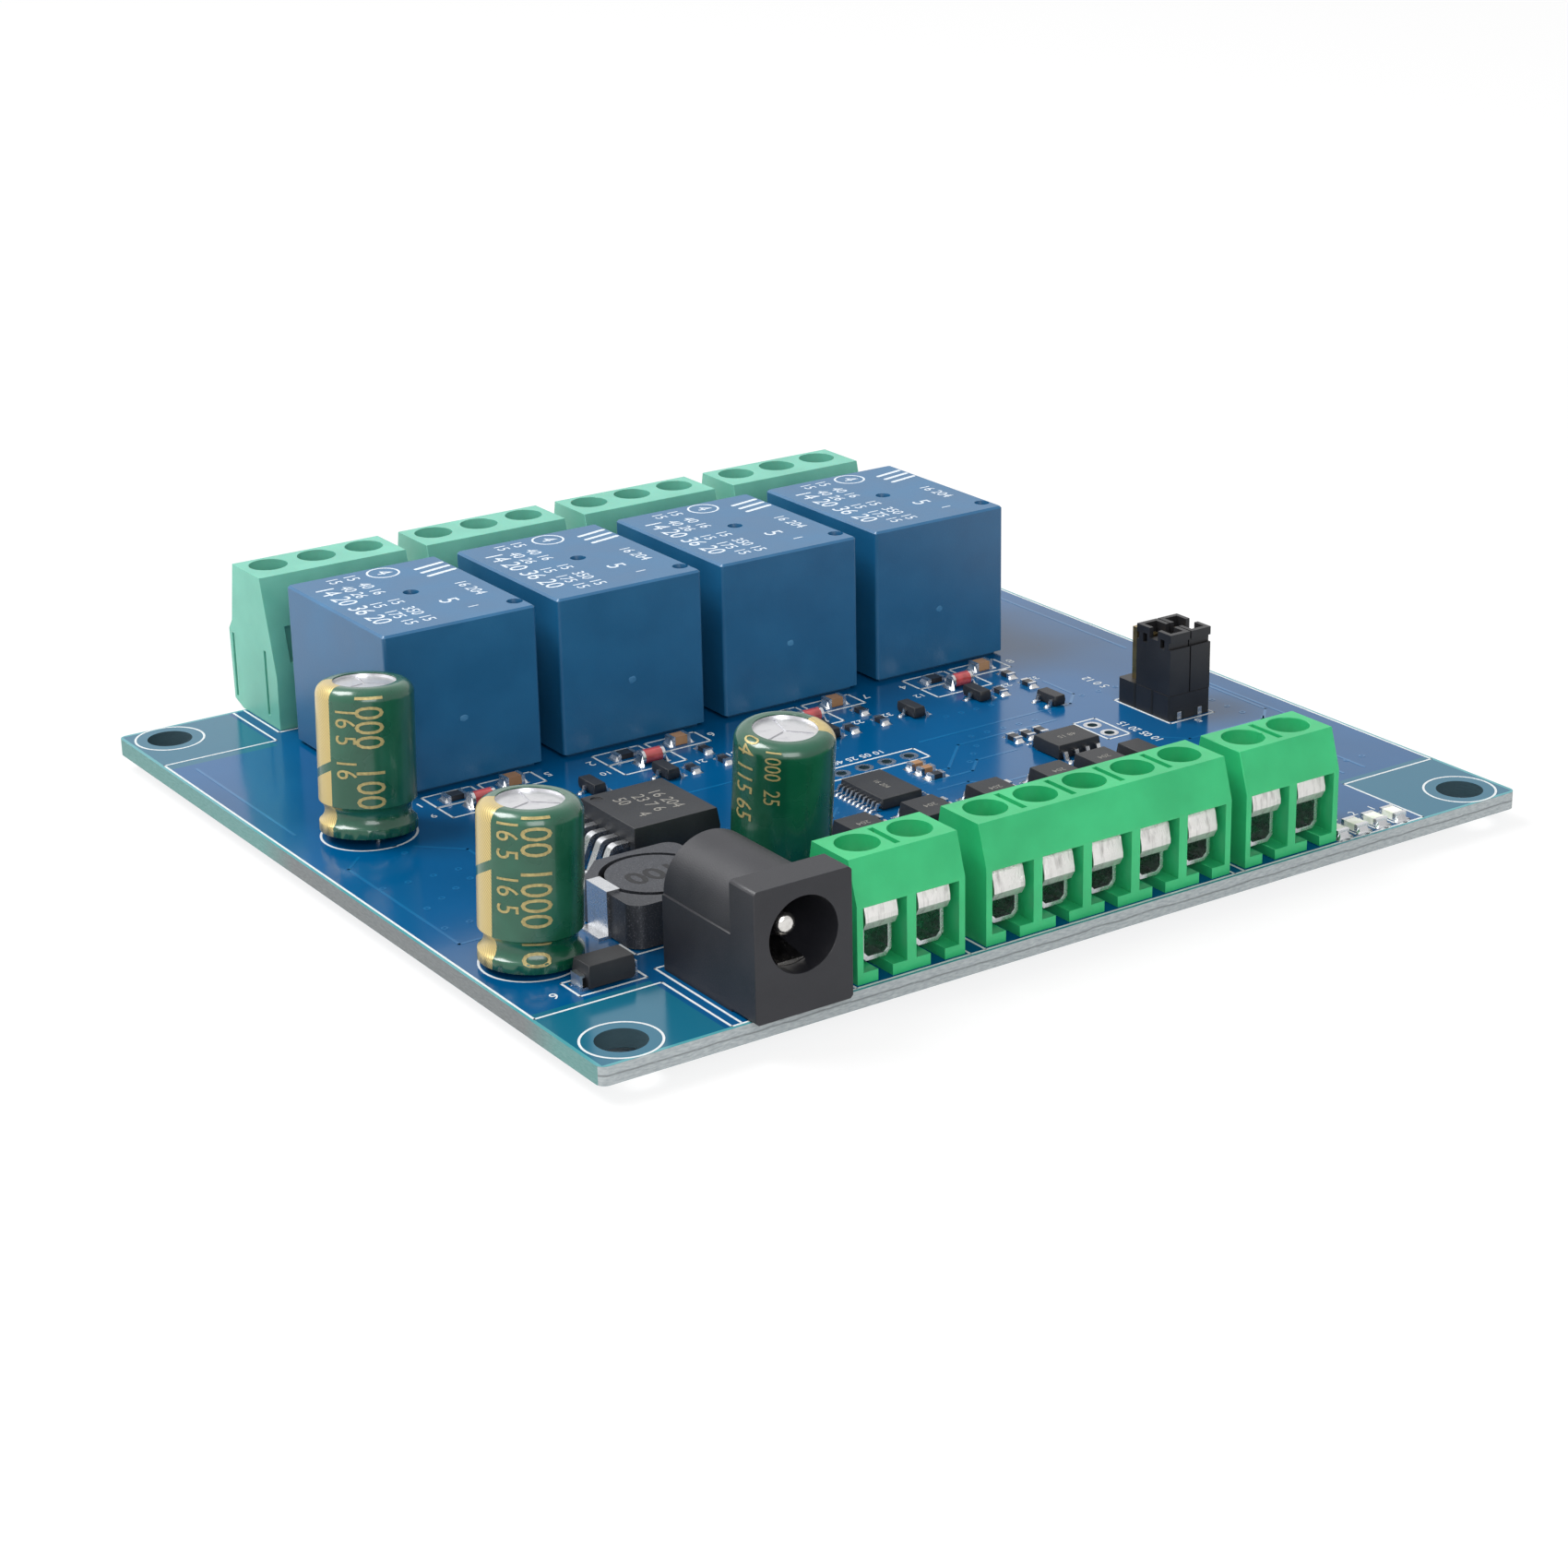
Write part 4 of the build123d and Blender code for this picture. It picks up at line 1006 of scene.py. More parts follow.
@dataclass
class BoardPrint:
    """White lines, rings and numbers on the board."""

    board: Board
    line: float = 0.2
    ink: float = 0.02
    margin: float = 0.3
    # What is added to the channel's number, how far it stands off the relay's middle, its row and size.
    channel_numbers: tuple[tuple[int, float, float, float], ...] = (
        (0, -6.4, 55.8, 1.5),
        (4, 6.8, 55.8, 1.5),
        (8, -6.6, 52.8, 1.2),
        (19, 2.0, 50.2, 1.2),
        (29, 5.4, 50.2, 1.2),
    )
    # The digits, their place along X and Y, their size, and their turn in degrees.
    numbers: tuple[tuple[str, float, float, float, float], ...] = (
        ("6", 3.7, 13.2, 1.5, 180.0),
        ("5 0 12", 83.9, 45.6, 1.4, 90.0),
        ("5", 84.7, 31.2, 1.3, 180.0),
        ("10 05 20 15", 78.4, 32.1, 1.3, 90.0),
        ("10 05 25 40", 53.0, 42.3, 1.2, 180.0),
        ("12", 27.5, 12.6, 1.5, 0.0),
        ("0", 33.6, 12.6, 1.5, 0.0),
    )
    pole_row: float = 10.6
    first_pole: float = 41.2
    pole_pitch: float = 5.08
    bus_poles: tuple[float, ...] = (71.0, 76.0)
    holes_x: tuple[float, ...] = (3.81, 91.44)
    holes_y: tuple[float, ...] = (3.3, 85.6)
    mounting_ring: float = 3.2
    can_ring: float = 4.2
    light_half: float = 0.85
    light_back: float = 1.3
    light_front: float = -1.2
    light_tip: float = -1.65
    light_number: float = 2.6
    pieces: list[bpy.types.Object] = field(default_factory=list)

    def draw(self, *points: tuple[float, float]) -> None:
        """Draw a line from point to point.

        Args:
            points: the points in millimetres.
        """
        for start, end in zip(points, points[1:]):
            first = self.board.point(*start)
            last = self.board.point(*end)
            self.pieces.append(BENCH.strip("line", first, last, self.line * MM, self.ink * MM))

    def frame(self, x0: float, y0: float, x1: float, y1: float) -> None:
        """Draw a rectangle between two corners."""
        self.draw((x0, y0), (x1, y0), (x1, y1), (x0, y1), (x0, y0))

    def circle(self, x: float, y: float, radius: float) -> None:
        """Draw a ring about a point.

        Args:
            x: the place along X.
            y: the place along Y.
            radius: the middle of the line.
        """
        inner = (radius - self.line / 2) * MM
        outer = (radius + self.line / 2) * MM
        self.pieces.append(BENCH.ring("ring", self.board.point(x, y), inner, outer, self.ink * MM))

    def number(self, text: str, x: float, y: float, size: float = 1.5, turn: float = 0.0) -> None:
        """Print digits about a point.

        Args:
            text: the digits.
            x: the place along X.
            y: the place along Y.
            size: the size of the digits.
            turn: how far they are turned, in degrees.
        """
        digits = BENCH.digits("digits", text, size * MM, self.ink * MM)
        place = Matrix.Translation(self.board.point(x, y)) @ Matrix.Rotation(math.radians(turn), 4, "Z")
        digits.data.transform(place)
        self.pieces.append(digits)

    def edges(self) -> None:
        """Draw the lines along the board's edges, which step round its corners."""
        self.draw((11.7, 88.5), (11.7, 79.0), (0.35, 79.0), (0.35, 10.4), (11.8, 10.4), (11.8, 0.35))
        self.draw((84.05, 0.35), (84.05, 10.4), (94.9, 10.4), (94.9, 79.0), (83.6, 79.0), (83.6, 88.5))
        self.draw((11.8, 0.35), (84.05, 0.35))

    def parts(self) -> None:
        """Draw the outlines round the parts."""
        self.draw((12.75, 0.6), (12.75, 12.95), (23.0, 12.95), (23.0, 9.6))
        self.draw((12.95, 18.6), (12.95, 16.1), (23.4, 16.1), (23.4, 18.6))
        self.draw((12.9, 24.9), (15.4, 27.4), (23.4, 27.4), (23.4, 24.9))
        self.frame(5.3, 11.9, 11.4, 14.9)
        self.frame(47.0, 38.55, 58.5, 41.2)
        self.frame(74.6, 32.2, 77.2, 37.5)
        self.frame(82.0, 32.0, 87.4, 40.4)

    def terminals(self) -> None:
        """Draw a box round the foot of each screw terminal, open towards the board's edge."""
        housings = [name for name in frame_nodes() if "terminal" in name and name.endswith("housing")]
        for node in housings:
            low, high = ((corner - self.board.low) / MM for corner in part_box(node))
            left = low.x - self.margin
            right = high.x + self.margin
            front = low.y - self.margin
            back = high.y + self.margin
            end = min(back, self.board.width - self.margin)
            self.draw((left, front), (left, end))
            self.draw((right, front), (right, end))
            inner = front if low.y > self.board.width / 2 else back
            self.draw((left, inner), (right, inner))

    def channel(self, x: float, number: int) -> None:
        """Draw the boxes of one channel's small parts.

        Args:
            x: the middle of the channel's relay.
            number: the channel's number.
        """
        self.frame(x - 5.4, 54.3, x - 0.4, 57.3)
        self.frame(x - 5.4, 51.3, x + 1.2, 54.2)
        self.frame(x + 0.3, 54.3, x + 5.8, 57.3)
        for step, shift, y, size in self.channel_numbers:
            self.number(str(number + step), x + shift, y, size, 180.0)

    def light(self, x: float, y: float, number: int) -> None:
        """Draw the outline of one indicator light, with its number behind it.

        Args:
            x: the light's middle along X.
            y: its middle along Y.
            number: its number.
        """
        left = x - self.light_half
        right = x + self.light_half
        back = y + self.light_back
        front = y + self.light_front
        self.draw((left, back), (left, front), (x, y + self.light_tip), (right, front), (right, back))
        self.number(str(number), x, y + self.light_number, 1.3)

    def build(self) -> None:
        """Print everything and join it."""
        self.edges()
        self.parts()
        for x in self.holes_x:
            for y in self.holes_y:
                self.circle(x, y, self.mounting_ring)
        for index in (1, 2, 3):
            foot = Capacitors().foot(index) - self.board.low
            self.circle(foot.x / MM, foot.y / MM, self.can_ring)
        self.terminals()
        for channel in range(4):
            low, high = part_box(f"relay_{channel + 1}_cover")
            self.channel(((low.x + high.x) / 2 - self.board.low.x) / MM, channel + 1)
        lights = islands("indicator_lights")
        for index, (low, high) in enumerate(lights):
            middle = (low + high) / 2 - self.board.low
            self.light(middle.x / MM, middle.y / MM, len(lights) - index)
        for text, x, y, size, turn in self.numbers:
            self.number(text, x, y, size, turn)
        for pole in range(5):
            self.number(str(pole), self.first_pole + self.pole_pitch * pole, self.pole_row)
        for pole, x in enumerate(self.bus_poles, 1):
            self.number(str(pole), x, self.pole_row)
        put_joined("board_print", self.pieces, Finish.WHITE_INK)


@dataclass
class Solder:
    """Solder on the board: slopes at leads and chip ends, and cones round the pins below."""

    board: Board
    lead_reach: float = 0.35
    lead_climb: float = 0.25
    chip_reach: float = 0.45
    chip_climb: float = 0.7
    overlap: float = 1.15
    joint_radius: float = 1.05
    joint_height: float = 1.05
    joint_spread: float = 1.9
    slope_cuts: tuple[float, ...] = (0.15, 0.35, 0.6, 0.85)
    slope_power: float = 1.8
    slope_toe: float = 0.06
    # The height of each cut through the cone, and how far the ring there is drawn in.
    cone_cuts: tuple[tuple[float, float], ...] = ((0.12, 0.86), (0.3, 0.68), (0.6, 0.72))
    smoothing: float = 60.0

    def slope(self) -> bpy.types.Object:
        """Model a unit slope that rises against a lead at x = 0 and ends at x = 1.

        Returns:
            The slope.
        """
        BENCH.clear()
        bpy.ops.mesh.primitive_cube_add(size=1.0, location=(0.5, 0, 0.5))
        piece = BENCH.finish("solder_slope")
        with BENCH.editing():
            for place in self.slope_cuts:
                BENCH.cut((place, 0, 0), (1, 0, 0))
        for vertex in piece.data.vertices:
            if vertex.co.z > 0.5:
                vertex.co.z = max(self.slope_toe, (1.0 - vertex.co.x) ** self.slope_power)
                vertex.co.y *= 0.55 + 0.35 * vertex.co.x
        BENCH.smooth(piece, self.smoothing)
        return piece

    def cone(self) -> bpy.types.Object:
        """Model a unit cone with a hollow slope, standing down from the origin.

        Returns:
            The cone.
        """
        BENCH.clear()
        size = {"vertices": 20, "radius1": 1.0, "radius2": 0.32, "depth": 1.0}
        bpy.ops.mesh.primitive_cone_add(location=(0, 0, 0.5), **size)
        piece = BENCH.finish("solder_cone")
        upside_down = {"constraint_axis": (False, False, True), "center_override": (0, 0, 0)}
        with BENCH.editing():
            for height, squeeze in self.cone_cuts:
                BENCH.cut((0, 0, height), (0, 0, 1))
                bpy.ops.transform.resize(value=(squeeze, squeeze, 1.0))
            bpy.ops.mesh.select_all(action="SELECT")
            bpy.ops.transform.mirror(orient_type="GLOBAL", **upside_down)
            bpy.ops.mesh.normals_make_consistent(inside=False)
        BENCH.smooth(piece, self.smoothing)
        return piece

    def against(
        self, slope: bpy.types.Object, foot: Box, away: Vector, reach: float, height: float
    ) -> bpy.types.Object:
        """Put a slope against one side of a foot.

        Args:
            slope: the unit slope.
            foot: the foot's lowest and highest corner.
            away: the direction that points off the part, along X or Y.
            reach: how far the solder runs out.
            height: how high it climbs.

        Returns:
            The copy.
        """
        low, high = foot
        middle = (low + high) / 2
        half = Vector((high.x - low.x, high.y - low.y, 0)) / 2
        start = Vector((middle.x + away.x * half.x, middle.y + away.y * half.y, self.board.high.z))
        width = 2 * (half.y if away.x else half.x)
        turn = math.atan2(away.y, away.x)
        size = Matrix.Diagonal((reach * MM, width * self.overlap, height, 1.0))
        place = Matrix.Translation(start) @ Matrix.Rotation(turn, 4, "Z") @ size
        return BENCH.copy_at(slope, place)

    def chips(self, slope: bpy.types.Object) -> list[bpy.types.Object]:
        """Put solder at the ends of the chips.

        Args:
            slope: the unit slope.

        Returns:
            The slopes.
        """
        pieces = []
        ends = islands("chip_end_caps")
        middles = [(low + high) / 2 for low, high in ends]
        for end, middle in zip(ends, middles):
            others = [point for point in middles if point != middle]
            partner = min(others, key=lambda point: (point - middle).length)
            run = middle - partner
            away = outward(run, abs(run.x) > abs(run.y))
            climb = (end[1].z - self.board.high.z) * self.chip_climb
            pieces.append(self.against(slope, end, away, self.chip_reach, climb))
        return pieces

    def leads(self, slope: bpy.types.Object, node: str, bodies: str) -> list[bpy.types.Object]:
        """Put solder at the toes of a package's leads.

        Args:
            slope: the unit slope.
            node: the leads' node.
            bodies: the node of the packages that they leave.

        Returns:
            The slopes.
        """
        packages = [(low + high) / 2 for low, high in islands(bodies)]
        pieces = []
        for low, high in islands(node):
            middle = (low + high) / 2
            package = min(packages, key=lambda point: (point - middle).length)
            away = outward(middle - package, high.x - low.x > high.y - low.y)
            pieces.append(self.against(slope, (low, high), away, self.lead_reach, self.lead_climb * MM))
        return pieces

    def pins(self, cone: bpy.types.Object) -> list[bpy.types.Object]:
        """Put a cone round each pin that comes out below the board.

        Args:
            cone: the unit cone.

        Returns:
            The cones.
        """
        pieces = []
        below = self.board.low.z - 0.2 * MM
        nodes = [name for name in frame_nodes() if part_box(name)[0].z < below]
        for node in nodes:
            for centre, half in pins_below(node, below):
                length = max(half.x * self.joint_spread, self.joint_radius * MM)
                width = max(half.y * self.joint_spread, self.joint_radius * MM)
                place = Matrix.Translation((centre.x, centre.y, self.board.low.z))
                place @= Matrix.Diagonal((length, width, self.joint_height * MM, 1))
                pieces.append(BENCH.copy_at(cone, place))
        return pieces

    def build(self) -> None:
        """Solder everything and join it into three pieces."""
        slope = self.slope()
        cone = self.cone()
        put_joined("chip_solder", self.chips(slope), Finish.TINNED_METAL)
        leads = []
        pairs = {
            "processor_leads": "processor_body",
            "transceiver_leads": "transceiver_body",
            "optocoupler_leads": "optocoupler_bodies",
            "transistor_leads": "transistor_bodies",
            "diode_leads": "diode_bodies",
        }
        for node, bodies in pairs.items():
            leads += self.leads(slope, node, bodies)
        put_joined("lead_solder", leads, Finish.TINNED_METAL)
        put_joined("pin_solder", self.pins(cone), Finish.TINNED_METAL)
        BENCH.remove(slope, cone)


def outward(run: Vector, along_x: bool) -> Vector:
    """Return the unit direction along X or Y that points the way of a run."""
    return Vector((math.copysign(1, run.x), 0, 0)) if along_x else Vector((0, math.copysign(1, run.y), 0))


def frame_nodes() -> list[str]:
    """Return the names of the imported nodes."""
    return list(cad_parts)


def pins_below(node: str, below: float) -> list[tuple[Vector, Vector]]:
    """Find where a node's pins end below the board. The jack's flat tabs are wider than other pins.

    Args:
        node: the node's name.
        below: the height under which only pins are found.

    Returns:
        Each pin's middle and half its size.
    """
    widest = (WIDEST_TAB if "jack" in node else WIDEST_PIN) * MM
    ends: list[list[Vector]] = []
    for vertex in bpy.data.objects[node].data.vertices:
        if vertex.co.z > below:
            continue
        for end in ends:
            if (end[0] - vertex.co).length < widest:
                end.append(vertex.co)
                break
        else:
            ends.append([vertex.co])
    return [((low + high) / 2, (high - low) / 2) for low, high in map(span, ends)]


@dataclass
class BareBoard:
    """The laminate with its mask, traces, vias and pads."""

    board: Board
    via_radius: float = 0.32
    via_hole: float = 0.15
    via_height: float = 0.02
    trace_width: float = 0.28
    trace_height: float = 0.018
    pad_width: float = 0.38
    pad_height: float = 0.03
    pad_hole: float = 0.5
    pad_pitch: float = 2.54
    back_pads: tuple[float, float] = (49.4, 39.8)
    front_pads: tuple[float, float] = (75.8, 36.1)

    def dress(self) -> None:
        """Give the board its mask and edge."""
        board = self.board
        mask = SolderMask().material("solder_mask", board.length, board.width, board.thickness)
        PAINT.dress_node("circuit_board", mask)

    def vias(self) -> None:
        """Add the small plated holes, which the mask covers.

        Each row has a start, a step and a count.
        """
        rows = (
            ((3.2, 30.0), (2.3, 0.0), 3), ((4.0, 34.5), (2.0, 1.2), 4), ((3.0, 40.5), (2.4, 0.0), 5),
            ((12.6, 27.8), (1.6, 0.0), 3), ((8.2, 46.5), (0.0, 2.1), 4), ((20.2, 40.8), (1.7, 0.0), 6),
            ((33.6, 30.6), (0.0, 1.9), 5), ((37.4, 36.4), (1.6, 0.9), 4), ((43.4, 29.0), (0.0, 1.5), 4),
            ((56.8, 30.0), (1.3, 0.0), 3), ((60.6, 35.2), (1.5, 1.5), 3), ((64.8, 40.6), (1.9, 0.0), 5),
            ((78.8, 26.2), (1.8, 0.0), 4), ((89.6, 30.4), (0.0, 2.2), 5), ((80.4, 43.4), (2.1, 0.0), 5),
            ((30.6, 45.2), (2.0, 0.0), 3), ((47.4, 45.6), (1.8, 0.0), 4), ((66.2, 46.4), (1.8, 0.0), 4),
            ((86.6, 14.8), (1.9, 0.0), 3), ((38.6, 14.2), (5.08, 0.0), 6), ((88.4, 21.0), (0.0, 1.8), 3),
        )
        height = self.via_height * MM
        ring = BENCH.ring("via", Vector((0, 0, 0)), self.via_hole * MM, self.via_radius * MM, height)
        rings = []
        for start, step, count in rows:
            for index in range(count):
                point = self.board.point(start[0] + index * step[0], start[1] + index * step[1])
                under = Vector((point.x, point.y, self.board.low.z - height))
                for place in (point, under):
                    rings.append(BENCH.copy_at(ring, Matrix.Translation(place)))
        BENCH.remove(ring)
        put_joined("via_rings", rings, Finish.MASKED_TRACE)

    def traces(self) -> None:
        """Add the edges of the copper, which show as fine raised lines under the mask."""
        routes = (
            ((2.6, 26.4), (10.6, 26.4), (13.0, 28.8), (13.0, 44.0), (9.6, 47.4)),
            ((2.6, 26.4), (2.6, 46.0), (4.6, 48.0)),
            ((15.0, 28.0), (15.0, 44.0), (18.0, 47.0), (26.0, 47.0)),
            ((32.4, 26.0), (32.4, 41.0), (35.4, 44.0), (44.0, 44.0), (46.4, 46.4), (46.4, 50.0)),
            ((36.0, 29.0), (43.0, 29.0), (44.6, 30.6)),
            ((36.0, 31.2), (42.4, 31.2), (44.2, 33.0)),
            ((54.0, 31.2), (57.4, 31.2), (59.4, 29.2), (63.6, 29.2)),
            ((54.0, 33.2), (59.4, 33.2), (61.4, 35.2), (66.0, 35.2)),
            ((54.0, 35.0), (58.0, 35.0), (62.4, 39.4), (74.0, 39.4)),
            ((60.0, 42.2), (78.0, 42.2), (80.0, 44.2), (80.0, 49.0)),
            ((78.4, 30.2), (80.8, 27.8), (90.0, 27.8), (92.0, 29.8), (92.0, 47.0)),
            ((86.0, 12.6), (86.0, 24.0), (90.4, 28.4)),
            ((88.6, 12.6), (88.6, 20.0), (92.6, 24.0), (92.6, 40.0)),
            ((28.0, 12.4), (28.0, 14.4), (34.0, 14.4), (36.0, 16.4), (36.0, 21.0)),
            ((40.0, 12.4), (40.0, 17.8), (40.9, 18.7)),
            ((45.1, 12.4), (45.1, 15.8), (48.0, 18.7)),
            ((50.2, 12.4), (50.2, 14.0), (55.0, 18.8)),
            ((55.3, 12.4), (55.3, 12.9), (61.6, 19.2)),
            ((2.4, 56.0), (2.4, 76.4)),
            ((93.0, 52.0), (93.0, 76.4)),
        )
        strips = []
        for route in routes:
            points = [self.board.point(x, y) for x, y in route]
            for start, end in zip(points, points[1:]):
                width = self.trace_width * MM
                strips.append(BENCH.strip("trace", start, end, width, self.trace_height * MM))
        put_joined("trace_edges", strips, Finish.MASKED_TRACE)

    def pads(self) -> None:
        """Add the metal rings round the holes that hold no pin."""
        x, y = self.back_pads
        holes = [(x + self.pad_pitch * index, y) for index in range(4)]
        x, y = self.front_pads
        holes += [(x, y - self.pad_pitch * index) for index in range(2)]
        inner = self.pad_hole * MM
        outer = inner + self.pad_width * MM
        rings = []
        height = self.pad_height * MM
        for x, y in holes:
            for z in (0.0, -self.board.thickness - self.pad_height):
                rings.append(BENCH.ring("pad", self.board.point(x, y, z), inner, outer, height))
        put_joined("hole_pads", rings, Finish.TINNED_METAL)

    def build(self) -> None:
        """Dress the board and add what lies on it."""
        self.dress()
        self.vias()
        self.traces()
        self.pads()


@dataclass
class Relays:
    """Four sealed relays with numbers printed on their covers."""

    edge: float = 0.22
    ink: float = 0.015
    # The digits, their place along X and Y from the middle of the top, and their size.
    print_lines: tuple[tuple[str, float, float, float], ...] = (
        ("14 20 36 20", -5.75, 0.2, 2.65),
        ("15", -3.8, 7.9, 1.75),
        ("15", -2.0, 7.9, 1.75),
        ("40 26", -3.8, 3.8, 1.75),
        ("40 16", -2.0, 3.8, 1.75),
        ("15", -3.8, -1.0, 1.75),
        ("15", -2.0, -1.0, 1.75),
        ("175 15", -3.8, -5.5, 1.75),
        ("350 15", -2.0, -5.5, 1.75),
        ("4", 1.2, 7.6, 2.2),
        ("16 204", 5.5, -1.4, 1.7),
        ("5", 2.0, -3.7, 2.6),
        ("1", 3.0, -6.5, 1.5),
    )
    ring_place: tuple[float, float] = (1.2, 7.6)
    ring_radius: float = 1.6
    ring_line: float = 0.2
    bar_places: tuple[float, ...] = (4.4, 5.7, 7.0)
    bar_start: float = 4.2
    bar_length: float = 3.0
    bar_slant: float = 0.3
    bar_width: float = 0.45
    gate_height: float = 5.9
    gate_offset: float = -0.15
    gate_radius: float = 0.4
    gate_roughness: float = 0.1
    gate_flatness: float = 0.12

    def marks(self, index: int) -> bpy.types.Object:
        """Print one relay's top, to be read from its left side.

        Args:
            index: the relay's number, from one.

        Returns:
            The joined print.
        """
        low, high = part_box(f"relay_{index}_cover")
        middle = Vector(((low.x + high.x) / 2, (low.y + high.y) / 2, high.z))
        thickness = self.ink * MM
        sideways = Matrix.Rotation(math.radians(-90), 4, "Z")
        pieces = []
        for text, x, y, size in self.print_lines:
            digits = BENCH.digits("digits", text, size * MM, thickness)
            digits.data.transform(Matrix.Translation(middle + Vector((x, y, 0)) * MM) @ sideways)
            pieces.append(digits)
        centre = middle + Vector((*self.ring_place, 0)) * MM
        inner = (self.ring_radius - self.ring_line) * MM
        pieces.append(BENCH.ring("ring", centre, inner, self.ring_radius * MM, thickness))
        for y in self.bar_places:
            start = middle + Vector((self.bar_start, y - self.bar_slant, 0)) * MM
            end = middle + Vector((self.bar_start + self.bar_length, y + self.bar_slant, 0)) * MM
            pieces.append(BENCH.strip("bar", start, end, self.bar_width * MM, thickness))
        return BENCH.join(f"relay_{index}_marks", pieces)

    def gate(self, index: int) -> bpy.types.Object:
        """Model the rough spot where the moulding gate broke off the front of one cover.

        Args:
            index: the relay's number, from one.

        Returns:
            The spot.
        """
        low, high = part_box(f"relay_{index}_cover")
        across = (low.x + high.x) / 2 + self.gate_offset * MM
        place = Vector((across, low.y, low.z + self.gate_height * MM))
        BENCH.clear()
        radius = self.gate_radius * MM
        bpy.ops.mesh.primitive_ico_sphere_add(subdivisions=2, radius=radius, location=place)
        with BENCH.editing():
            bpy.ops.mesh.select_all(action="SELECT")
            bpy.ops.transform.vertex_random(offset=self.gate_roughness * MM, seed=index)
            bpy.ops.transform.resize(value=(1.0, self.gate_flatness, 0.8))
        return BENCH.finish(f"relay_{index}_gate")

    def build(self) -> None:
        """Soften and dress the relays."""
        blue = PAINT.get(Finish.RELAY_CASE)
        for index in range(1, 5):
            cover = BENCH.soften(f"relay_{index}_cover", self.edge * MM, 3)
            put(cover, blue)
            PAINT.dress_node(f"relay_{index}_base", blue)
            put(self.marks(index), PAINT.get(Finish.RELAY_INK))
            put(self.gate(index), PAINT.get(Finish.GATE_SCAR))


@dataclass
class Terminals:
    """Green screw terminals along both edges."""

    edge: float = 0.14

    def green(self, kind: Green) -> bpy.types.Material:
        """Return the plastic of one kind of terminal."""
        plastic = MouldedPlastic(*kind.value, 0.36, 7.0, 0.008, subsurface=0.08)
        return plastic.material(f"green_{kind.name.lower()}")

    def build(self) -> None:
        """Soften and dress the housings."""
        rows = {
            Green.FRONT: ["power_terminal", "input_terminal", "bus_terminal"],
            Green.OUTPUT: [f"output_terminal_{index}" for index in range(1, 5)],
        }
        greens = {kind: self.green(kind) for kind in rows}
        for kind, names in rows.items():
            for name in names:
                housing = BENCH.soften(f"{name}_housing", self.edge * MM)
                put(housing, greens[kind])


@dataclass
class PowerJack:
    """The moulded power jack."""

    edge: float = 0.3

    def build(self) -> None:
        """Soften and dress the body."""
        put(BENCH.soften("jack_body", self.edge * MM, 3), PAINT.get(Finish.JACK_PLASTIC))


@dataclass
class Header:
    """Feet of the front pins at the foot of the header's base, each in an opening whose shade is painted
    as a near-black block.
    """

    pitch: float = 2.54
    # The width and height of the near-black block that paints the shade in each opening.
    opening: tuple[float, float] = (1.3, 0.95)
    foot: tuple[float, float] = (0.5, 0.8)
    proud: float = 0.02
    depth: float = 0.1
    edge: float = 0.03

    def block(self, name: str, side: float, size: tuple[float, float], proud: float) -> bpy.types.Object:
        """Add a block that is let into the front of the base.

        Args:
            name: the block's name.
            side: minus one for the left pin and one for the right.
            size: its width and height.
            proud: how far it stands out.

        Returns:
            The block.
        """
        low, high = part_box("header_base")
        middle = (low.x + high.x) / 2 + side * self.pitch * MM / 2
        half = size[0] * MM / 2
        first = Vector((middle - half, low.y - proud * MM, low.z))
        last = Vector((middle + half, low.y + self.depth * MM, low.z + size[1] * MM))
        block = BENCH.box(name, first, last)
        BENCH.bevel(block, self.edge * MM, 1)
        return block

    def build(self) -> None:
        """Add the near-black blocks that paint the shade in both openings, and both feet."""
        # The openings' shade is painted: near-black blocks set into the front of the base.
        opening_shades = [self.block("opening", side, self.opening, self.proud) for side in (-1, 1)]
        feet = [self.block("foot", side, self.foot, 2 * self.proud) for side in (-1, 1)]
        put_joined("header_openings", opening_shades, Finish.DARK_HOLE)
        put_joined("header_feet", feet, Finish.TINNED_METAL)


@dataclass(frozen=True)
class NumberColumn:
    """Digits that read down a sleeve."""

    text: str
    turn: float
    top: float
    size: float


@dataclass(frozen=True)
class Can:
    """How one capacitor stands, and what is printed on it, in degrees and millimetres."""

    lean: float
    side: float
    stripe: float
    gap: float
    columns: tuple[NumberColumn, ...]


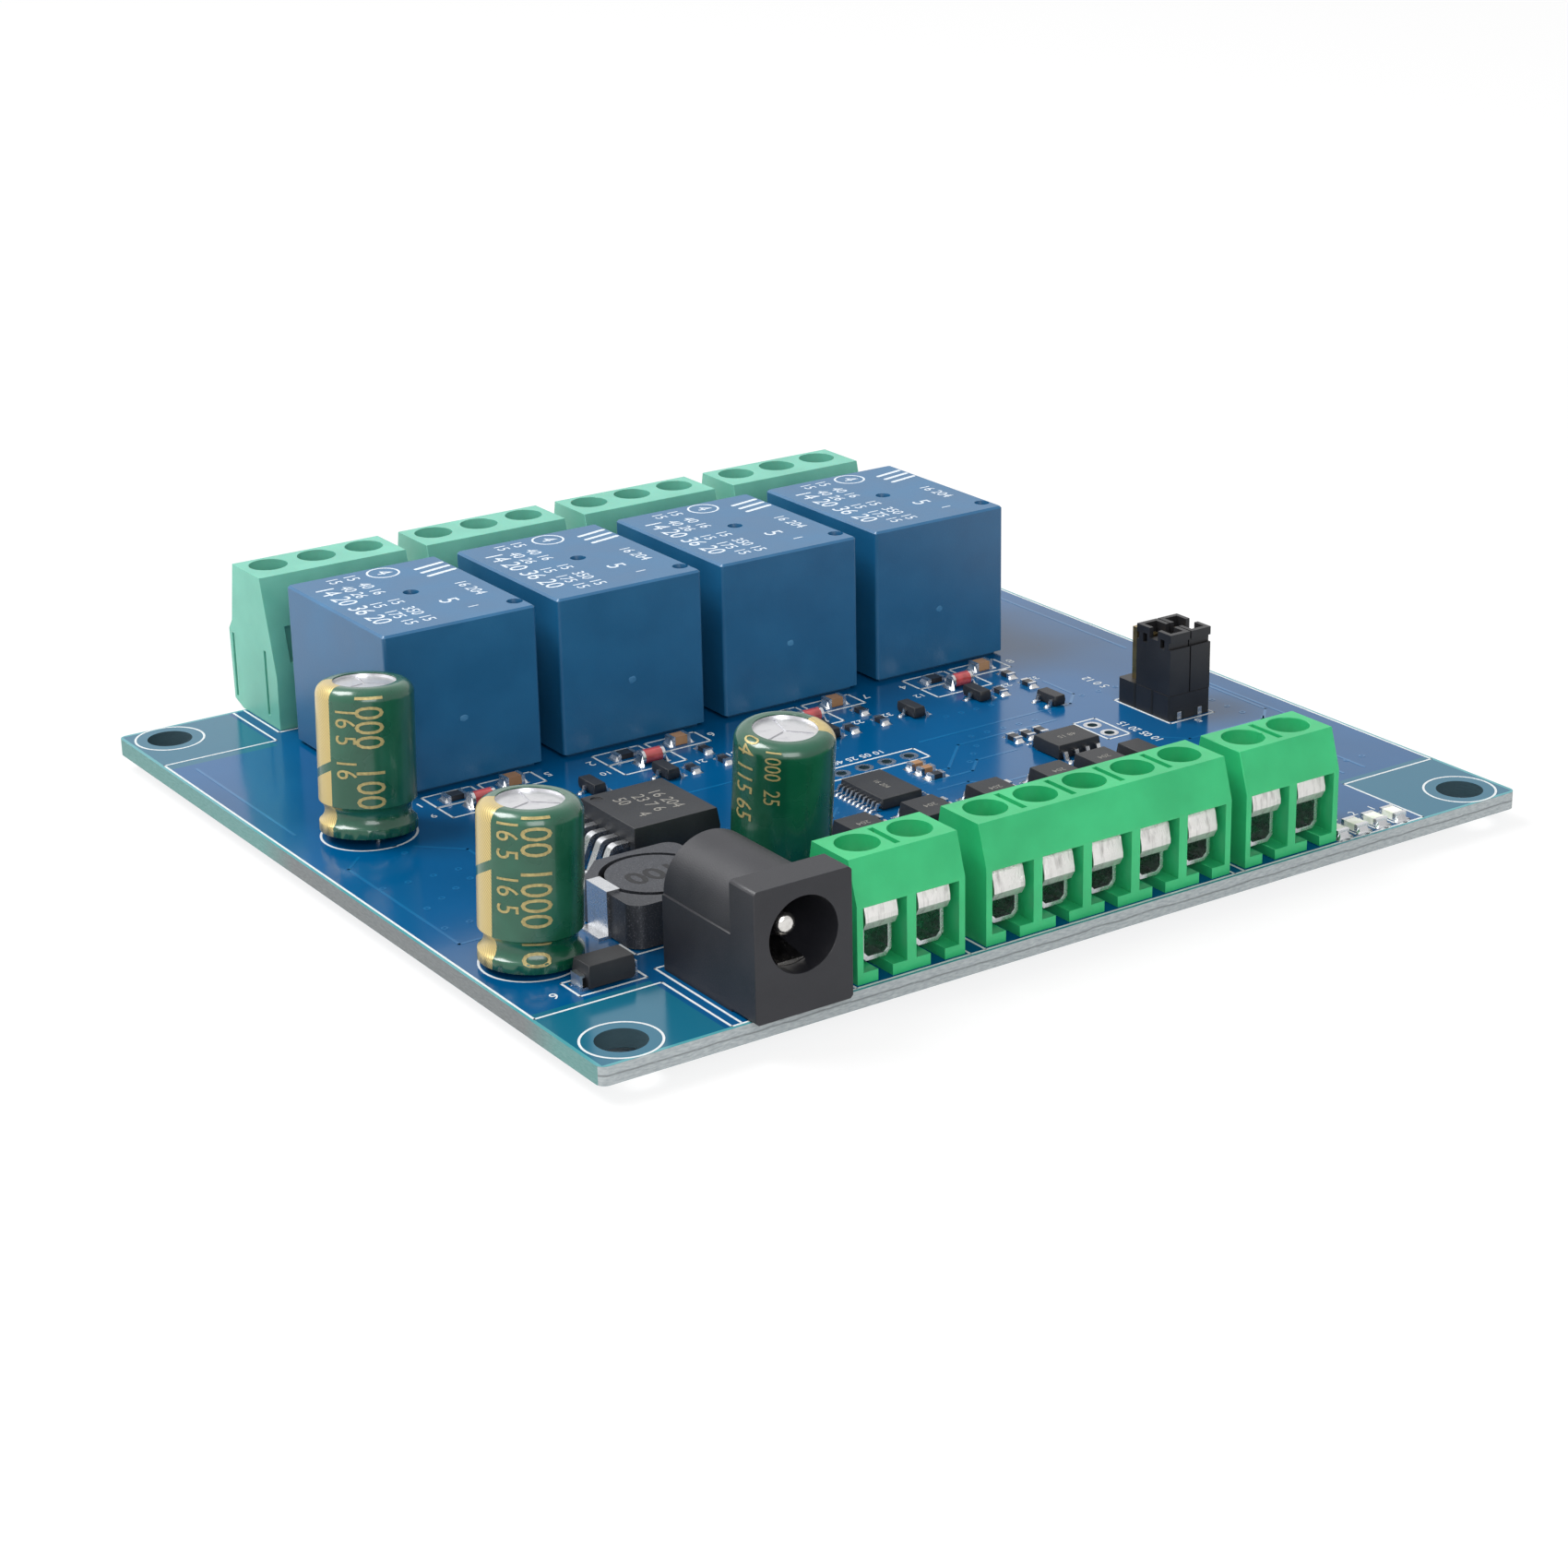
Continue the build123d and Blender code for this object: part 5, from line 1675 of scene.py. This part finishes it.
@dataclass
class Capacitors:
    """Three leaning cans in dark sleeves, each with a gold stripe and gold numbers."""

    radius: float = 4.27
    top: float = 13.42
    shoulder: float = 1.12
    squeeze: float = 0.72
    waist_height: float = 2.0
    waist_half: float = 0.95
    waist_depth: float = 0.5
    steepest: float = 1.5
    ink: float = 0.02
    lift: float = 0.01
    cans: tuple[Can, ...] = (
        Can(5.5, 45.0, 171.0, 6.3, (
            NumberColumn("1000  100", -114.0, 12.9, 3.6),
            NumberColumn("16 5  16", -142.0, 11.6, 2.7),
        )),
        Can(3.0, 15.0, 168.0, 8.4, (
            NumberColumn("100 1000 10", -115.0, 13.3, 3.6),
            NumberColumn("16 5  16 5", -146.0, 12.7, 2.7),
        )),
        Can(5.5, 270.0, -14.0, 7.0, (
            NumberColumn("04 115 65", -175.0, 14.0, 2.7),
            NumberColumn("1000  25", -138.0, 13.0, 2.0),
        )),
    )

    def foot(self, index: int) -> Vector:
        """Find the middle of a capacitor's two leads, on the board.

        Args:
            index: the capacitor's number, from one.

        Returns:
            The middle.
        """
        low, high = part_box(f"capacitor_{index}_sleeve")
        middle = (low + high) / 2
        leads = [(first + last) / 2 for first, last in islands("capacitor_leads")]
        leads.sort(key=lambda lead: (lead.xy - middle.xy).length)
        pair = (leads[0] + leads[1]) / 2
        return Vector((pair.x, pair.y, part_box("circuit_board")[1].z))

    def stand(self, index: int) -> Matrix:
        """Work out how an upright capacitor is taken to its place and lean.

        Args:
            index: the capacitor's number, from one.

        Returns:
            The matrix.
        """
        can = self.cans[index - 1]
        lift = self.radius * MM * math.sin(math.radians(can.lean))
        side = Matrix.Rotation(math.radians(can.side), 4, "Z")
        tip = side @ Matrix.Rotation(math.radians(can.lean), 4, "Y") @ side.inverted()
        return Matrix.Translation(self.foot(index) + Vector((0, 0, lift))) @ tip

    def column(self, column: NumberColumn) -> bpy.types.Object:
        """Wrap digits round an upright sleeve, reading down, with their first one against the shoulder.

        Args:
            column: the digits and their place.

        Returns:
            The digits.
        """
        digits = BENCH.digits("digits", column.text, column.size * MM, self.ink * MM)
        start = min(vertex.co.x for vertex in digits.data.vertices)
        across = [((0, step * 0.2 * MM, 0), (0, 1, 0)) for step in range(-7, 8)]
        along = [((start + step * 0.25 * MM, 0, 0), (1, 0, 0)) for step in range(1, 12)]
        BENCH.activate(digits)
        with BENCH.editing():
            for point, direction in across + along:
                BENCH.cut(point, direction)
        for vertex in digits.data.vertices:
            angle = math.radians(column.turn) + vertex.co.y / (self.radius * MM)
            drop = (vertex.co.x - start) / MM * self.squeeze
            reach, height = self.wrap(column.top - drop, vertex.co.z / MM + self.lift)
            vertex.co = Vector((reach * math.cos(angle), reach * math.sin(angle), height)) * MM
        return digits

    def wrap(self, height: float, lift: float) -> tuple[float, float]:
        """Follow the sleeve's profile, over its shoulder and into its waist.

        Args:
            height: the height along the profile in millimetres, as if the side ran straight up.
            lift: how far off the sleeve.

        Returns:
            The radius and height in millimetres.
        """
        bend = self.top - self.shoulder
        if height <= bend:
            waist = max(0.0, 1.0 - ((height - self.waist_height) / self.waist_half) ** 2)
            return self.radius - self.waist_depth * waist + lift, height
        angle = min((height - bend) / self.shoulder, self.steepest)
        inner = self.radius - self.shoulder
        reach = (self.shoulder + lift) * math.cos(angle)
        return inner + reach, bend + (self.shoulder + lift) * math.sin(angle)

    def numbers(self, index: int) -> bpy.types.Object:
        """Print the two columns of one capacitor.

        Args:
            index: the capacitor's number, from one.

        Returns:
            The joined print.
        """
        columns = [self.column(column) for column in self.cans[index - 1].columns]
        piece = BENCH.join(f"capacitor_{index}_numbers", columns)
        piece.data.transform(self.stand(index))
        return piece

    def build(self) -> None:
        """Dress the sleeves and print their numbers."""
        for index, can in enumerate(self.cans, 1):
            side = math.radians(can.side)
            slope = math.tan(math.radians(can.lean))
            lean = Vector((slope * math.cos(side), slope * math.sin(side), 0))
            film = ShrinkSleeve().material(f"sleeve_{index}", self.foot(index), lean, can.stripe, can.gap)
            put(BENCH.soften(f"capacitor_{index}_sleeve", 0.03 * MM, 1), film)
            put(self.numbers(index), PAINT.get(Finish.GOLD_INK))


@dataclass
class Packages:
    """Moulded packages, with numbers on their tops."""

    edge: float = 0.06
    ink: float = 0.008

    def top_number(
        self, box: Box, text: str, size: float, turn: float, bold: float = 0.0
    ) -> bpy.types.Object:
        """Print digits on the middle of a top face.

        Args:
            box: the package's lowest and highest corner.
            text: the digits.
            size: their size.
            turn: how far they are turned, in degrees.
            bold: how far their strokes are widened.

        Returns:
            The digits.
        """
        low, high = box
        digits = BENCH.digits("digits", text, size * MM, self.ink * MM, bold * MM)
        middle = (low + high) / 2
        place = Matrix.Translation((middle.x, middle.y, high.z))
        digits.data.transform(place @ Matrix.Rotation(math.radians(turn), 4, "Z"))
        return digits

    def build(self) -> None:
        """Soften the bodies and print their numbers."""
        plastic = PAINT.get(Finish.PACKAGE_PLASTIC)
        for node in (
            "regulator_body",
            "processor_body",
            "transceiver_body",
            "optocoupler_bodies",
            "transistor_bodies",
            "diode_bodies",
        ):
            put(BENCH.soften(node, self.edge * MM), plastic)
        marks = [
            self.top_number(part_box("processor_body"), "16 204", 0.8, -90.0),
            self.top_number(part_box("transceiver_body"), "48 15", 0.9, 180.0),
            self.top_number(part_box("regulator_body"), "16 204\n23 7 6\n50     4", 1.7, -90.0),
        ]
        marks += [self.top_number(box, "204", 0.9, 180.0) for box in islands("optocoupler_bodies")]
        put_joined("package_numbers", marks, Finish.GREY_INK)
        number = self.top_number(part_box("inductor_drum"), "100", 3.4, 180.0, 0.09)
        put_joined("inductor_number", [number], Finish.DARK_INK)


@dataclass(frozen=True)
class Lamp:
    """A square lamp that faces the board: place and side in metres, power in watts."""

    name: str
    place: Triple
    side: float
    power: float


@dataclass
class Studio:
    """Floor, lamps, surroundings and camera."""

    camera_place: Triple = (-156.275, -233.97, 107.03)
    azimuth: float = -34.735
    elevation: float = 19.852
    roll: float = 0.745
    focal_pixels: float = 3535.464
    frame_pixels: float = 1700.0
    middle_pixels: tuple[float, float] = (920.871, 784.004)
    sensor: float = 36.0
    behind: tuple[float, float] = (-0.5, 0.8)
    behind_rise: float = 0.35
    floor_size: float = 6.0
    floor_gap: float = 0.02
    floor_grey: float = 0.86
    floor_reach: float = 160.0
    floor_whiteness: float = 0.85
    mirrored_whiteness: float = 0.85
    front_glow: float = 0.7
    room_level: float = 0.5
    shaded_half: tuple[float, float] = (43.4, 40.0)
    lamps: tuple[Lamp, ...] = (
        Lamp("key_lamp", (-0.4, 0.3, 0.8), 0.5, 10.5),
        Lamp("front_lamp", (-0.25, -0.75, 0.4), 0.5, 4.0),
    )

    def camera(self) -> None:
        """Set the camera at the viewing angle and framing of the object's picture."""
        side = math.radians(self.azimuth)
        lift = math.radians(self.elevation)
        level = Vector((math.sin(side), -math.cos(side), 0.0))
        back = Vector((level.x * math.cos(lift), level.y * math.cos(lift), math.sin(lift)))
        right = Vector((math.cos(side), math.sin(side), 0.0))
        up = back.cross(right)
        cosine = math.cos(math.radians(self.roll))
        sine = math.sin(math.radians(self.roll))
        turned_right = cosine * right - sine * up
        turned_up = sine * right + cosine * up
        rotation = Matrix((turned_right, turned_up, back)).transposed().to_4x4()
        camera = bpy.data.cameras.new("camera")
        camera.sensor_width = self.sensor
        camera.lens = self.focal_pixels / self.frame_pixels * self.sensor
        half = self.frame_pixels / 2
        camera.shift_x = (half - self.middle_pixels[0]) / self.frame_pixels
        camera.shift_y = (self.middle_pixels[1] - half) / self.frame_pixels
        camera.clip_start = 0.01
        camera.clip_end = 20.0
        holder = bpy.data.objects.new("camera", camera)
        holder.matrix_world = Matrix.Translation(Vector(self.camera_place) * MM) @ rotation
        bpy.context.scene.collection.objects.link(holder)
        bpy.context.scene.camera = holder

    def hang(self, lamp: Lamp) -> None:
        """Hang a lamp.

        Args:
            lamp: its name, place, side and power.
        """
        light = bpy.data.lights.new(lamp.name, "AREA")
        light.shape = "SQUARE"
        light.size = lamp.side
        light.energy = lamp.power
        holder = bpy.data.objects.new(lamp.name, light)
        position = Vector(lamp.place)
        turn = position.to_track_quat("Z", "Y").to_matrix().to_4x4()
        holder.matrix_world = Matrix.Translation(position) @ turn
        bpy.context.scene.collection.objects.link(holder)

    def floor(self) -> None:
        """Lay a pale floor, which reflections see brighter behind the board than before it."""
        low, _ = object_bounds()
        BENCH.clear()
        height = low[2] - self.floor_gap * MM
        bpy.ops.mesh.primitive_plane_add(size=self.floor_size, location=(0, 0, height))
        floor = BENCH.finish("floor")
        shader = Shader("floor")
        shader.dress(base_color=(self.floor_grey,) * 3, roughness=0.6, specular_ior_level=0.2)
        path = shader.add("ShaderNodeLightPath")
        seen = Value(shader, path.outputs["Is Camera Ray"])
        mirrored = Value(shader, path.outputs["Is Glossy Ray"])
        x, y, _ = shader.place()
        behind = (y * self.behind[1] + x * self.behind[0]).ramp(-self.floor_reach, self.floor_reach)
        grey = shader.mix(behind, (self.front_glow,) * 3, WHITE)
        glow = shader.add("ShaderNodeEmission", None, {"Color": shader.mix(mirrored, WHITE, grey)})
        beyond = (abs(x) - self.shaded_half[0]).maths("MAXIMUM", abs(y) - self.shaded_half[1]) > 0.0
        share = beyond * (seen * self.floor_whiteness + mirrored * self.mirrored_whiteness)
        mixer = shader.add("ShaderNodeMixShader", None, {0: share})
        output = next(node for node in shader.tree.nodes if node.type == "OUTPUT_MATERIAL")
        shader.tree.links.new(shader.surface.outputs["BSDF"], mixer.inputs[1])
        shader.tree.links.new(glow.outputs["Emission"], mixer.inputs[2])
        shader.tree.links.new(mixer.outputs["Shader"], output.inputs["Surface"])
        floor.data.materials.append(shader.material)
        floor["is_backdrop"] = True

    def surroundings(self) -> None:
        """Light the room evenly. Reflections see it white behind the board and grey before it."""
        world = bpy.data.worlds.new("room")
        room = Nodes(world)
        path = room.add("ShaderNodeLightPath")
        seen = Value(room, path.outputs["Is Camera Ray"])
        mirrored = Value(room, path.outputs["Is Glossy Ray"])
        direction = Value(room, room.add("ShaderNodeTexCoord").outputs["Generated"])
        sockets = {0: direction, 1: (*self.behind, self.behind_rise)}
        along = room.value("ShaderNodeVectorMath", {"operation": "DOT_PRODUCT"}, sockets, "Value")
        glossy = along.ramp(-0.3, 0.6) * (1.0 - self.front_glow) + self.front_glow
        level = mirrored * glossy + (1.0 - mirrored) * self.room_level
        strength = seen + (1.0 - seen) * level
        background = room.add("ShaderNodeBackground", None, {"Color": WHITE, "Strength": strength})
        output = room.add("ShaderNodeOutputWorld")
        room.tree.links.new(background.outputs[0], output.inputs["Surface"])
        bpy.context.scene.world = world

    def build(self) -> None:
        """Set up the studio."""
        bpy.context.scene.view_settings.view_transform = "Standard"
        self.camera()
        self.floor()
        self.surroundings()
        for lamp in self.lamps:
            self.hang(lamp)


def dress_slots() -> None:
    """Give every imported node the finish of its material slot."""
    by_slot = {finish.name.lower(): finish for finish in Finish}
    for node in frame_nodes():
        packed = bpy.data.objects[node]
        for slot in packed.material_slots:
            name = slot.material.name.split(".")[0] if slot.material else ""
            if name in by_slot:
                slot.material = PAINT.get(by_slot[name])
            else:
                LOG.info("node %s keeps %s", node, name)


def main() -> None:
    """Build the scene."""
    logging.basicConfig(level=logging.INFO, format="%(message)s")
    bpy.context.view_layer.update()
    board = Board()
    dress_slots()
    BareBoard(board).build()
    BoardPrint(board).build()
    Solder(board).build()
    Relays().build()
    Terminals().build()
    PowerJack().build()
    Header().build()
    Capacitors().build()
    Packages().build()
    Studio().build()


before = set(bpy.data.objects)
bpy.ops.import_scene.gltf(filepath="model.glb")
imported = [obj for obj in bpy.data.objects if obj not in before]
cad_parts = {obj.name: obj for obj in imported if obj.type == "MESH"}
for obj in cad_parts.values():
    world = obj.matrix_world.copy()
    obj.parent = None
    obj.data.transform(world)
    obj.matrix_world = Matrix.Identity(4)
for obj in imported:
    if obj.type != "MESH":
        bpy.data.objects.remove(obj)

if __name__ == "__main__":
    main()
